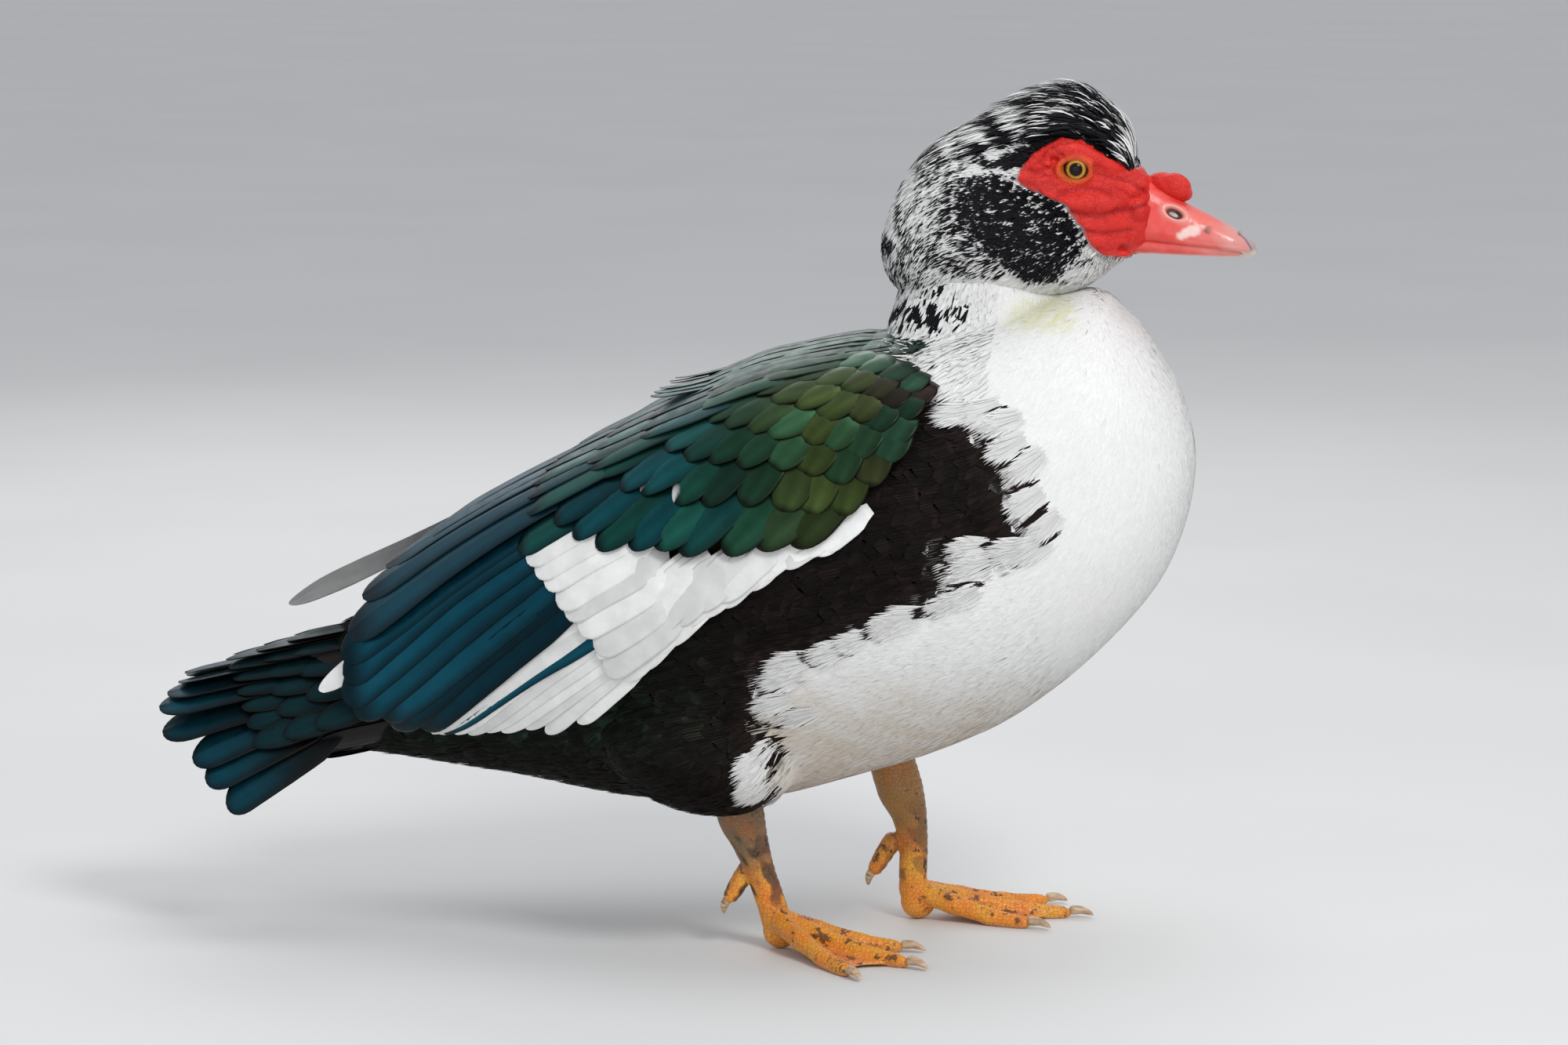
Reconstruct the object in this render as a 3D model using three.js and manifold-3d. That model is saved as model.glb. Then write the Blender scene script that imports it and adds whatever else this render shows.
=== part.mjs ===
import * as THREE from "three";
import { mergeVertices } from "three/addons/utils/BufferGeometryUtils.js";
import Module from "manifold-3d";

// A standing muscovy drake at life size, in millimetres, with +Z up and the bill towards -Y.
// "Forward" is measured from a point above the middle of the body, "side" is positive on the
// bird's left, and "up" from the ground under the feet.

const wasm = await Module();
wasm.setup();

// Driving dimensions
const MIDDLE_FORWARD = -46;
const GAP = 0.35;
const AXIS_TILT = THREE.MathUtils.degToRad(14.5);
const AXIS_START = { forward: 222, up: 262 };
const EYE = { forward: 155.7, up: 417.9, side: 26.2, radius: 8.2 };
const HEAD_ROUNDNESS = 2.1;
const FLAT_DEPTH = 0.6;
const WEB_THICKNESS = 2.4;

// Torso stations along the tilted axis: distance, back, widest level, belly, half width
const TORSO = [
  [-1, 22, 22, 22, 0],
  [4, 53, 20, -6, 40],
  [14, 81, 17, -28, 62],
  [32, 104, 13, -53, 80],
  [60, 106, 9, -75, 93],
  [100, 104, 6, -97, 101],
  [143, 104, 5, -112, 105],
  [200, 102.5, 4, -119, 104],
  [250, 93, 0, -121, 98],
  [300, 78, -6, -114, 87],
  [345, 62, -12, -101, 73],
  [385, 48, -15, -83, 58],
  [425, 37, -15, -67, 44],
  [457, 28, -14, -54, 33],
  [480, 20, -13, -45, 24],
  [492, -12, -12, -12, 0],
];

// The folded wings lie on this wider form, which runs on past the rump
const WING_BED = [
  [20, 94, 15, -38, 70],
  [60, 107, 9, -76, 94],
  [100, 105, 6, -98, 102],
  [143, 105, 5, -113, 106],
  [200, 104.5, 5, -120, 106],
  [250, 96.5, 5, -122, 104],
  [300, 86, 2, -115, 98],
  [345, 76, 0, -96, 89],
  [387, 65, -2, -76, 78],
  [425, 54, -4, -58, 66],
  [460, 46, -5, -44, 55],
  [500, 37, -6, -32, 43],
  [540, 29, -7, -22, 34],
];

// Neck stations going up: height, throat, middle, nape, half width
const NECK = [
  [292, 108, 104, 100, 0],
  [298, 146, 104, 64, 34],
  [318, 158, 104, 57, 42],
  [334, 153, 104, 57, 37],
  [346, 147, 104, 61, 31],
  [360, 145, 104, 64, 29],
  [368, 132, 104, 76, 21],
  [371, 108, 104, 100, 0],
];

// Head stations going forward: forward, crown, cheek level, jaw, half width
const HEAD = [
  [54, 376, 376, 376, 0],
  [57, 390, 376, 361, 17],
  [64, 407, 377, 353, 25],
  [80, 426, 380, 346, 33],
  [100, 437, 384, 345, 37],
  [121, 444, 386, 346, 38],
  [137, 449, 388, 347, 37],
  [150, 451, 391, 350, 35],
  [166, 446, 394, 358, 30.5],
  [179, 436, 396, 368, 24],
  [187, 424, 397, 372, 19.5],
  [193, 415, 396, 375, 16],
  [197, 406, 395, 382, 10],
  [198.5, 395, 395, 395, 0],
];

// Bill stations going forward: forward, top, widest level, bottom, half width
const BILL_UPPER = [
  [183, 395, 395, 395, 0],
  [185, 408, 388, 381, 12],
  [192, 413, 387, 379.2, 14],
  [200, 409, 385, 378.6, 14],
  [208, 403.5, 383, 378, 13.6],
  [216, 399, 381, 377.2, 13.2],
  [224, 395, 380, 376.6, 13.2],
  [232, 391, 379, 376, 13.4],
  [239, 387, 378, 375.4, 12.8],
  [245, 382.5, 377, 374.6, 10.2],
  [248.5, 378.5, 376, 373.6, 5.5],
  [250, 376, 376, 376, 0],
];
const BILL_LOWER = [
  [172, 380, 380, 380, 0],
  [175, 384, 379, 374.6, 8],
  [186, 384, 378, 373.4, 10.6],
  [200, 384, 377, 373, 11.2],
  [216, 384, 376, 372.4, 10.8],
  [230, 384, 375.5, 372, 10.4],
  [239, 384, 375, 372, 8.6],
  [244, 374, 374, 374, 0],
];

// Colours
const BLACK_GREEN = 0x16221f;
const WHITE = 0xf2f0ea;
const FACE_RED = 0xd8412f;
const BILL_PINK = 0xe08a80;
const FOOT_ORANGE = 0xe08a2c;
const SHANK_BROWN = 0x7d6a4a;
const CLAW_PALE = 0xd9c3a5;
const EYE_DARK = 0x2a1c0a;

// Placing

function at(forward, side, up) {
  return new THREE.Vector3(side, MIDDLE_FORWARD - forward, up);
}

function alongBody(distance, above, side) {
  const forward = AXIS_START.forward - distance * Math.cos(AXIS_TILT) - above * Math.sin(AXIS_TILT);
  const up = AXIS_START.up - distance * Math.sin(AXIS_TILT) + above * Math.cos(AXIS_TILT);
  return at(forward, side, up);
}

// Smooth curves through stations

function endSlope(near, far, slopeNear, slopeFar) {
  const slope = ((2 * near + far) * slopeNear - near * slopeFar) / (near + far);
  if (slope * slopeNear <= 0) {
    return 0;
  }
  const steep = slopeNear * slopeFar <= 0 && Math.abs(slope) > Math.abs(3 * slopeNear);
  return steep ? 3 * slopeNear : slope;
}

// A curve through the points that never swings past them
function curveThrough(xs, ys) {
  const last = xs.length - 1;
  const widths = xs.slice(1).map((x, i) => x - xs[i]);
  const slopes = widths.map((width, i) => (ys[i + 1] - ys[i]) / width);
  const tangents = xs.map(() => 0);
  for (let i = 1; i < last; i += 1) {
    if (slopes[i - 1] * slopes[i] > 0) {
      const before = 2 * widths[i] + widths[i - 1];
      const after = widths[i] + 2 * widths[i - 1];
      tangents[i] = (before + after) / (before / slopes[i - 1] + after / slopes[i]);
    }
  }
  if (last > 1) {
    tangents[0] = endSlope(widths[0], widths[1], slopes[0], slopes[1]);
    tangents[last] = endSlope(
      widths[last - 1], widths[last - 2], slopes[last - 1], slopes[last - 2]);
  } else {
    tangents.fill(slopes[0]);
  }
  return (x) => {
    const inside = THREE.MathUtils.clamp(x, xs[0], xs[last]);
    let i = 0;
    while (i < last - 1 && inside > xs[i + 1]) {
      i += 1;
    }
    const u = (inside - xs[i]) / widths[i];
    const v = 1 - u;
    return ys[i] * (1 + 2 * u) * v * v + tangents[i] * widths[i] * u * v * v
      + ys[i + 1] * u * u * (3 - 2 * u) - tangents[i + 1] * widths[i] * u * u * v;
  };
}

function column(rows, value) {
  return curveThrough(rows.map((row) => row[0]), rows.map(value));
}

// Sections are rounded boxes whose upper, lower and side reach change along the form
function sectionsOf(rows, roundness = 2.2) {
  const middle = column(rows, (row) => row[2]);
  const above = column(rows, (row) => (row[1] - row[2]) ** 2);
  const below = column(rows, (row) => (row[2] - row[3]) ** 2);
  const half = column(rows, (row) => row[4] ** 2);
  const reach = (curve, x) => Math.sqrt(Math.max(curve(x), 0));
  const power = 2 / roundness;
  return (x, angle) => {
    const c = Math.cos(angle);
    const s = Math.sin(angle);
    const rise = Math.sign(c) * Math.abs(c) ** power;
    const swing = Math.sign(s) * Math.abs(s) ** power;
    const height = c > 0 ? reach(above, x) : reach(below, x);
    return [middle(x) + height * rise, reach(half, x) * swing];
  };
}

// Closed surfaces

function geometryFrom(points, faces) {
  const geometry = new THREE.BufferGeometry();
  const flat = points.flatMap((p) => [p.x, p.y, p.z]);
  geometry.setAttribute("position", new THREE.Float32BufferAttribute(flat, 3));
  let volume = 0;
  for (const [a, b, c] of faces) {
    volume += points[a].dot(new THREE.Vector3().crossVectors(points[b], points[c]));
  }
  geometry.setIndex(faces.flatMap(([a, b, c]) => (volume > 0 ? [a, b, c] : [a, c, b])));
  return geometry;
}

// Rings of points joined into a closed form that ends in a point at both ends
function closedRings(rings, start, end) {
  const count = rings[0].length;
  const points = [start, ...rings.flat(), end];
  const finish = points.length - 1;
  const index = (ring, i) => 1 + ring * count + (i % count);
  const faces = [];
  for (let i = 0; i < count; i += 1) {
    faces.push([0, index(0, i + 1), index(0, i)]);
    faces.push([finish, index(rings.length - 1, i), index(rings.length - 1, i + 1)]);
    for (let ring = 0; ring < rings.length - 1; ring += 1) {
      faces.push([index(ring, i), index(ring, i + 1), index(ring + 1, i + 1)]);
      faces.push([index(ring, i), index(ring + 1, i + 1), index(ring + 1, i)]);
    }
  }
  return geometryFrom(points, faces);
}

// Two like grids of points, an upper and a lower one, closed by a rim
function closedSheet(upper, lower) {
  const rows = upper.length;
  const columns = upper[0].length;
  const points = [...upper.flat(), ...lower.flat()];
  const top = (i, j) => i * columns + j;
  const under = (i, j) => rows * columns + top(i, j);
  const faces = [];
  for (let i = 0; i < rows - 1; i += 1) {
    for (let j = 0; j < columns - 1; j += 1) {
      for (const [a, b, c] of [[[0, 0], [1, 0], [1, 1]], [[0, 0], [1, 1], [0, 1]]]) {
        faces.push([top(i + a[0], j + a[1]), top(i + b[0], j + b[1]), top(i + c[0], j + c[1])]);
        faces.push([under(i + a[0], j + a[1]), under(i + c[0], j + c[1]), under(i + b[0], j + b[1])]);
      }
    }
  }
  const rim = (a, b) => {
    faces.push([top(...a), top(...b), under(...b)]);
    faces.push([top(...a), under(...b), under(...a)]);
  };
  for (let i = 0; i < rows - 1; i += 1) {
    rim([i + 1, 0], [i, 0]);
    rim([i, columns - 1], [i + 1, columns - 1]);
  }
  for (let j = 0; j < columns - 1; j += 1) {
    rim([0, j], [0, j + 1]);
    rim([rows - 1, j + 1], [rows - 1, j]);
  }
  return geometryFrom(points, faces);
}

// A form from stations: its rings stand close together near both ends, where it rounds off
function loft(rows, { place, rings, around, roundness = 2.2 }) {
  const section = sectionsOf(rows, roundness);
  const first = rows[0];
  const last = rows[rows.length - 1];
  const list = [];
  for (let k = 1; k < rings; k += 1) {
    const even = k / rings;
    const share = THREE.MathUtils.lerp(even, (1 - Math.cos(Math.PI * even)) / 2, 0.6);
    const x = THREE.MathUtils.lerp(first[0], last[0], share);
    const ring = [];
    for (let i = 0; i < around; i += 1) {
      const [n, side] = section(x, (2 * Math.PI * i) / around);
      ring.push(place(x, n, side));
    }
    list.push(ring);
  }
  return closedRings(list, place(first[0], first[2], 0), place(last[0], last[2], 0));
}

// A round bar along points, with an own radius at each point and domed ends
function bar(points, radii, around = 8, flatten = 1) {
  const path = new THREE.CatmullRomCurve3(points);
  const radius = curveThrough(points.map((point, i) => i), radii);
  const steps = Math.ceil((points.length - 1) * 1.5);
  const rings = [];
  const sideways = new THREE.Vector3();
  const across = new THREE.Vector3();
  const up = new THREE.Vector3(0, 0, 1);
  for (let k = 0; k <= steps; k += 1) {
    const u = k / steps;
    const centre = path.getPoint(u);
    const along = path.getTangent(u);
    sideways.crossVectors(along, Math.abs(along.z) > 0.9 ? new THREE.Vector3(0, -1, 0) : up).normalize();
    across.crossVectors(sideways, along).normalize();
    const r = radius(u * (points.length - 1));
    rings.push(Array.from({ length: around }, (_, i) => {
      const angle = (2 * Math.PI * i) / around;
      return centre.clone()
        .addScaledVector(sideways, r * Math.cos(angle))
        .addScaledVector(across, r * flatten * Math.sin(angle));
    }));
  }
  const start = path.getPoint(0).addScaledVector(path.getTangent(0), -0.6 * radii[0]);
  const end = path.getPoint(1).addScaledVector(path.getTangent(1), 0.6 * radii[radii.length - 1]);
  return closedRings(rings, start, end);
}

// An egg-like body with its three half sizes and a turn about the side axis
function bulb(centre, half, pitch = 0, yaw = 0, around = 12, rings = 7) {
  const turn = new THREE.Euler(pitch, 0, yaw, "ZXY");
  const size = new THREE.Vector3(...half);
  const put = (x, y, z) => new THREE.Vector3(x, y, z).multiply(size).applyEuler(turn).add(centre);
  const list = [];
  for (let k = 1; k < rings; k += 1) {
    const polar = (Math.PI * k) / rings;
    list.push(Array.from({ length: around }, (_, i) => {
      const angle = (2 * Math.PI * i) / around;
      return put(Math.sin(polar) * Math.cos(angle), -Math.cos(polar), Math.sin(polar) * Math.sin(angle));
    }));
  }
  return closedRings(list, put(0, -1, 0), put(0, 1, 0));
}

// Joining and cutting

function solid(geometry) {
  return new wasm.Manifold(new wasm.Mesh({
    numProp: 3,
    vertProperties: new Float32Array(geometry.attributes.position.array),
    triVerts: new Uint32Array(geometry.index.array),
  }));
}

// The same form with its surface moved out by the gap that touching pieces keep
function grown(geometry, distance = GAP) {
  const copy = geometry.clone();
  copy.computeVertexNormals();
  const { position, normal } = copy.attributes;
  for (let i = 0; i < position.count; i += 1) {
    position.setXYZ(
      i,
      position.getX(i) + distance * normal.getX(i),
      position.getY(i) + distance * normal.getY(i),
      position.getZ(i) + distance * normal.getZ(i),
    );
  }
  return solid(copy);
}

function joined(pieces) {
  return pieces.reduce((whole, piece) => whole.add(piece));
}

function cut(whole, tools) {
  return tools.reduce((rest, tool) => rest.subtract(tool), whole);
}

// The largest closed surface of a joined form, as a geometry
function largest(manifold) {
  let best = null;
  for (const piece of manifold.decompose()) {
    if (best === null || piece.volume() > best.volume()) {
      best = piece;
    }
  }
  const mesh = best.getMesh();
  const geometry = new THREE.BufferGeometry();
  const positions = new Float32Array(mesh.numVert * 3);
  for (let i = 0; i < mesh.numVert; i += 1) {
    for (let axis = 0; axis < 3; axis += 1) {
      positions[3 * i + axis] = mesh.vertProperties[mesh.numProp * i + axis];
    }
  }
  geometry.setAttribute("position", new THREE.BufferAttribute(positions, 3));
  geometry.setIndex(Array.from(mesh.triVerts));
  return geometry;
}

// Points on the wing bed: distance along the body, arc from the middle of the back, height

const bedSection = sectionsOf(WING_BED);
const BED_STEPS = 60;

function bedAngle(distance, arc) {
  let walked = 0;
  let before = bedSection(distance, 0);
  for (let i = 1; i <= BED_STEPS; i += 1) {
    const angle = (Math.PI * i) / BED_STEPS;
    const now = bedSection(distance, angle);
    const step = Math.hypot(now[0] - before[0], now[1] - before[1]);
    if (walked + step >= arc) {
      return (Math.PI * (i - 1 + (arc - walked) / step)) / BED_STEPS;
    }
    walked += step;
    before = now;
  }
  return Math.PI;
}

function onBed(distance, arc, height, hand) {
  const place = (d, angle) => {
    const [n, side] = bedSection(d, angle);
    return alongBody(d, n, hand * side);
  };
  const angle = bedAngle(distance, Math.abs(arc));
  const point = place(distance, angle);
  const along = place(distance + 2, angle).sub(place(distance - 2, angle));
  const round = place(distance, angle + 0.04).sub(place(distance, angle - 0.04));
  const out = new THREE.Vector3().crossVectors(round, along).multiplyScalar(hand).normalize();
  return point.addScaledVector(out, height);
}

// Body forms

const torsoForm = loft(TORSO, { place: alongBody, rings: 22, around: 24 });
const neckForm = loft(NECK, {
  place: (up, forward, side) => at(forward, side, up), rings: 9, around: 20,
});
const headForm = loft(HEAD, {
  place: (forward, up, side) => at(forward, side, up), rings: 19, around: 20, roundness: HEAD_ROUNDNESS,
});
const billPlace = (forward, up, side) => at(forward, side, up);
const billUpperForm = loft(BILL_UPPER, { place: billPlace, rings: 12, around: 14, roundness: 2.3 });
const billLowerForm = loft(BILL_LOWER, { place: billPlace, rings: 10, around: 10, roundness: 2.4 });

const torsoGrown = grown(torsoForm);
const neckGrown = grown(neckForm);

function eyeForm(hand) {
  return bulb(at(EYE.forward, hand * EYE.side, EYE.up), [EYE.radius, EYE.radius, EYE.radius], 0, 0, 12, 7);
}

// Head: the face's folds and bulbs, lids, and sockets for the eyes and the neck

// Each fold runs back to front: forward, side, up and radius of its points
const FACE_FOLDS = {
  brow: [[140, 30, 424, 2], [152, 29.5, 428.5, 3.2], [166, 25, 425, 3.6], [182, 16, 417, 2.6]],
  cheek: [[140, 33, 410, 2.2], [154, 31.5, 402, 3.6], [170, 25.5, 401, 4], [183, 18, 402, 3]],
  gape: [[148, 32.5, 392, 2], [162, 28, 385, 3.6], [172, 22.5, 385, 3.6], [182, 18, 385, 2.6]],
};

function faceFolds(hand) {
  const folds = Object.values(FACE_FOLDS).map((rows) => bar(
    rows.map(([forward, side, up]) => at(forward, hand * side, up)),
    rows.map((row) => row[3]), 5));
  const lobe = bulb(at(170, hand * 21.5, 376.5), [4.4, 9, 4], 0.1, 0, 8, 5);
  return [...folds, lobe];
}

function lidRing(hand) {
  const points = [];
  const turns = 12;
  for (let i = 0; i < turns; i += 1) {
    const angle = (2 * Math.PI * i) / turns;
    points.push(at(
      EYE.forward + 8.2 * Math.cos(angle),
      hand * (EYE.side + 5.2 - 1.2 * Math.cos(angle)),
      EYE.up + 6.2 * Math.sin(angle)));
  }
  return ringOf(points, 2, 5);
}

// A closed ring of round section through the points
function ringOf(points, radius, around) {
  const centre = points.reduce((sum, p) => sum.add(p), new THREE.Vector3()).divideScalar(points.length);
  const count = points.length;
  const list = [];
  for (let i = 0; i < count; i += 1) {
    const along = points[(i + 1) % count].clone().sub(points[(i + count - 1) % count]).normalize();
    const out = points[i].clone().sub(centre).normalize();
    const side = new THREE.Vector3().crossVectors(along, out).normalize();
    for (let j = 0; j < around; j += 1) {
      const angle = (2 * Math.PI * j) / around;
      list.push(points[i].clone()
        .addScaledVector(out, radius * Math.cos(angle))
        .addScaledVector(side, radius * Math.sin(angle)));
    }
  }
  const faces = [];
  for (let i = 0; i < count; i += 1) {
    for (let j = 0; j < around; j += 1) {
      const a = i * around + j;
      const b = i * around + ((j + 1) % around);
      const c = ((i + 1) % count) * around + ((j + 1) % around);
      const d = ((i + 1) % count) * around + j;
      faces.push([a, b, c], [a, c, d]);
    }
  }
  return geometryFrom(list, faces);
}

const headSection = sectionsOf(HEAD, HEAD_ROUNDNESS);

// A place over the head: forward, turn from the middle of the crown, height over the skin
function onHead(forward, turn, height) {
  const place = (f, angle) => {
    const [up, side] = headSection(f, Math.abs(angle));
    return at(f, Math.sign(angle) * side, up);
  };
  const point = place(forward, turn);
  const ahead = place(forward + 1, turn).sub(place(forward - 1, turn));
  const round = place(forward, turn + 0.04).sub(place(forward, turn - 0.04));
  const out = new THREE.Vector3().crossVectors(ahead, round).normalize();
  return point.addScaledVector(out.z < 0 ? out.negate() : out, height);
}

// Rows of the crest from the forehead back: where each starts, its locks' length and lift
const CREST_ROWS = [
  { from: 184, length: 17, lift: 31, locks: 3 },
  { from: 172, length: 24, lift: 31, locks: 4 },
  { from: 159, length: 29, lift: 31, locks: 5 },
  { from: 145, length: 30, lift: 29, locks: 4 },
  { from: 129, length: 29, lift: 24, locks: 5 },
  { from: 111, length: 27, lift: 19, locks: 4 },
  { from: 92, length: 24, lift: 15, locks: 3 },
];
const LOCK_SHAPE = { shares: [0, 0.4, 0.8, 1], halves: [3.4, 5, 3.8, 1], thickness: [1.4, 1.2, 0.9, 0.5] };
const LOCK_SINK = 2.2;
const LOCK_PITCH = 12.5;

function crestLock(row, turn, twist) {
  const lift = THREE.MathUtils.degToRad(row.lift);
  const upper = [];
  const lower = [];
  LOCK_SHAPE.shares.forEach((share, i) => {
    const forward = row.from - row.length * Math.cos(lift) * share;
    const height = row.length * Math.sin(lift) * share ** 0.85 - LOCK_SINK;
    const radius = headSection(forward, Math.PI / 2)[1];
    const across = LOCK_SHAPE.halves[i] / radius;
    const edges = [-1, 1].map((edge) => [turn + edge * across, height + edge * twist * share]);
    upper.push(edges.map(([angle, level]) => onHead(forward, angle, level)));
    lower.push(edges.map(([angle, level]) => onHead(forward, angle, level - LOCK_SHAPE.thickness[i])));
  });
  return closedSheet(upper, lower);
}

function crestLocks() {
  const locks = [];
  CREST_ROWS.forEach((row, r) => {
    const radius = headSection(row.from, Math.PI / 2)[1] + 3;
    for (let i = 0; i < row.locks; i += 1) {
      const step = i - (row.locks - 1) / 2;
      const twist = ((r + i) % 2 === 0 ? 1 : -1) * 0.6;
      locks.push(crestLock(row, (step * LOCK_PITCH) / radius + 0.001, twist));
    }
  });
  return locks;
}

const knob = bulb(at(206, 0, 408), [8.2, 12.5, 7], 0.42, 0, 10, 7);

function headSolid() {
  const pieces = [solid(headForm), solid(knob), ...crestLocks().map(solid)];
  for (const hand of [-1, 1]) {
    pieces.push(...faceFolds(hand).map(solid), solid(lidRing(hand)));
  }
  const eyes = [-1, 1].map((hand) => grown(eyeForm(hand)));
  return cut(joined(pieces), [neckGrown, torsoGrown, ...eyes]);
}

const headGeometry = largest(headSolid());
const headTool = grown(headForm);
const knobTool = grown(knob);

// Bill: a long upper half with nostrils and a hooked nail over a slim lower half

function nostril(hand) {
  return solid(bulb(at(202.5, hand * 13.2, 396), [3.4, 4.6, 2.4], 0.35, 0, 8, 5));
}

const nail = bulb(at(246.5, 0, 376.2), [5, 4.2, 4], 0.5, 0, 8, 5);
const billUpperGrown = joined([grown(billUpperForm), grown(nail)]);
const billUpper = largest(cut(
  solid(billUpperForm).add(solid(nail)),
  [headTool, knobTool, nostril(-1), nostril(1)]));
const billLower = largest(cut(solid(billLowerForm), [billUpperGrown, headTool]));

// Legs

const LEGS = {
  right: {
    hand: -1,
    hock: at(-23, -38, 88),
    ankle: at(-1, -30, 19),
    thigh: at(-38, -54, 114),
    turns: [2, 28, 54],
    bend: 0,
  },
  left: {
    hand: 1,
    hock: at(50, 52, 88),
    ankle: at(63, 56, 19),
    thigh: at(34, 58, 124),
    turns: [-16, 8, 32],
    bend: 6,
  },
};
const TOES = ["inner", "middle", "outer"];
const TOE_LENGTHS = [70, 88, 84];
const CLAW_LENGTH = 12;

// The feathered thigh swells out of the flank and closes round the top of the shank
function thighForm(leg) {
  return bulb(leg.thigh, [40, 54, 36], AXIS_TILT, 0, 16, 10);
}

function shankForm(leg) {
  const points = [0, 0.2, 0.45, 0.7, 0.9, 1].map((share) => {
    const point = leg.hock.clone().lerp(leg.ankle, share);
    point.y -= leg.bend * Math.sin(Math.PI * share);
    return point;
  });
  points[0].z += 8;
  return bar(points, [12, 12.5, 9.6, 8.2, 7.6, 8], 9);
}

// The toe's own direction on the floor, turned outwards from straight ahead
function toeDirection(leg, turn) {
  const angle = THREE.MathUtils.degToRad(turn);
  return new THREE.Vector3(leg.hand * Math.sin(angle), -Math.cos(angle), 0);
}

function toePoint(leg, toe, distance, up) {
  const point = leg.ankle.clone().addScaledVector(toeDirection(leg, leg.turns[toe]), distance);
  point.z = up;
  return point;
}

function toeForm(leg, toe) {
  const length = TOE_LENGTHS[toe];
  const shares = [0, 0.25, 0.5, 0.75, 1];
  const radii = [6.6, 5.6, 4.9, 4.4, 3.4];
  const arch = [10, 6.6, 3, 0, 0];
  const points = shares.map((share, i) => (
    toePoint(leg, toe, share * length, radii[i] - FLAT_DEPTH + arch[i])));
  return bar(points, radii, 6);
}

function heelForm(leg) {
  return bulb(leg.ankle.clone().setZ(10.4), [10.5, 12, 11.6], 0, 0, 10, 6);
}

// The web hangs in a shallow scallop between the toes' tips
function webForm(leg, first) {
  const second = first + 1;
  const across = 3;
  const along = 4;
  const upper = [];
  const lower = [];
  for (let i = 0; i <= along; i += 1) {
    const row = [];
    const rowUnder = [];
    for (let j = 0; j <= across; j += 1) {
      const mix = j / across;
      const turn = THREE.MathUtils.lerp(leg.turns[first], leg.turns[second], mix);
      const reach = THREE.MathUtils.lerp(TOE_LENGTHS[first], TOE_LENGTHS[second], mix) - 6;
      const scallop = 1 - 0.14 * Math.sin(Math.PI * mix);
      const point = leg.ankle.clone().addScaledVector(
        toeDirection(leg, turn), THREE.MathUtils.lerp(6, reach * scallop, i / along));
      const sag = 1.6 * Math.sin(Math.PI * mix);
      const level = 4.4 + 10 * (1 - i / along) ** 1.5 - sag;
      row.push(point.clone().setZ(level));
      rowUnder.push(point.clone().setZ(level - WEB_THICKNESS));
    }
    upper.push(row);
    lower.push(rowUnder);
  }
  return closedSheet(upper, lower);
}

const floorBox = new THREE.BoxGeometry(800, 900, 60).translate(0, 0, -30);
floorBox.deleteAttribute("normal");
floorBox.deleteAttribute("uv");
const floor = solid(mergeVertices(floorBox));

function clawForm(leg, toe) {
  const from = TOE_LENGTHS[toe] + 1;
  return bar([
    toePoint(leg, toe, from, 4),
    toePoint(leg, toe, from + 0.5 * CLAW_LENGTH, 3.6),
    toePoint(leg, toe, from + CLAW_LENGTH, 1.6),
  ], [3, 2.3, 0.9], 5);
}

// The small hind toe hangs from the back of the shank
function hindToe(leg) {
  const root = leg.hock.clone().lerp(leg.ankle, 0.62);
  const back = (distance, up) => new THREE.Vector3(root.x + leg.hand * -1.5, root.y + distance, up);
  return {
    toe: bar([back(3, root.z + 2), back(9, root.z - 7), back(15, root.z - 17)], [5, 4.6, 3.8], 8),
    claw: bar(
      [back(16, root.z - 18.6), back(18.4, root.z - 22.5), back(18.8, root.z - 27)],
      [2.6, 2, 0.8], 5),
  };
}

// Wing: a plate on the flank that carries the feathers, tier over tier

const PLATE_FROM = 143;
const PLATE_TO = 326;
const PLATE_TOP_EDGE = [[143, 74], [152, 55], [165, 24], [178, 8], [326, 8]];
const PLATE_LOW_EDGE = [
  [143, 80], [152, 112], [166, 136], [178, 152],
  [233, 160], [279, 174], [310, 182], [326, 180],
];
const PLATE_TOP = [[143, 0.4], [160, 1.2], [290, 1.2], [326, -1.4]];
const PLATE_UNDER = [[143, -4], [160, -6], [290, -6], [326, -3.4]];

function wingPlate(hand) {
  const value = (rows) => column(rows, (row) => row[1]);
  const [high, low, top, under] = [PLATE_TOP_EDGE, PLATE_LOW_EDGE, PLATE_TOP, PLATE_UNDER].map(value);
  const along = 9;
  const across = 5;
  const upper = [];
  const lower = [];
  for (let i = 0; i <= along; i += 1) {
    const distance = THREE.MathUtils.lerp(PLATE_FROM, PLATE_TO, i / along);
    const arcs = Array.from({ length: across + 1 }, (_, j) => (
      THREE.MathUtils.lerp(high(distance), low(distance), j / across)));
    upper.push(arcs.map((arc) => onBed(distance, arc, top(distance), hand)));
    lower.push(arcs.map((arc) => onBed(distance, arc, under(distance), hand)));
  }
  return closedSheet(upper, lower);
}

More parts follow.
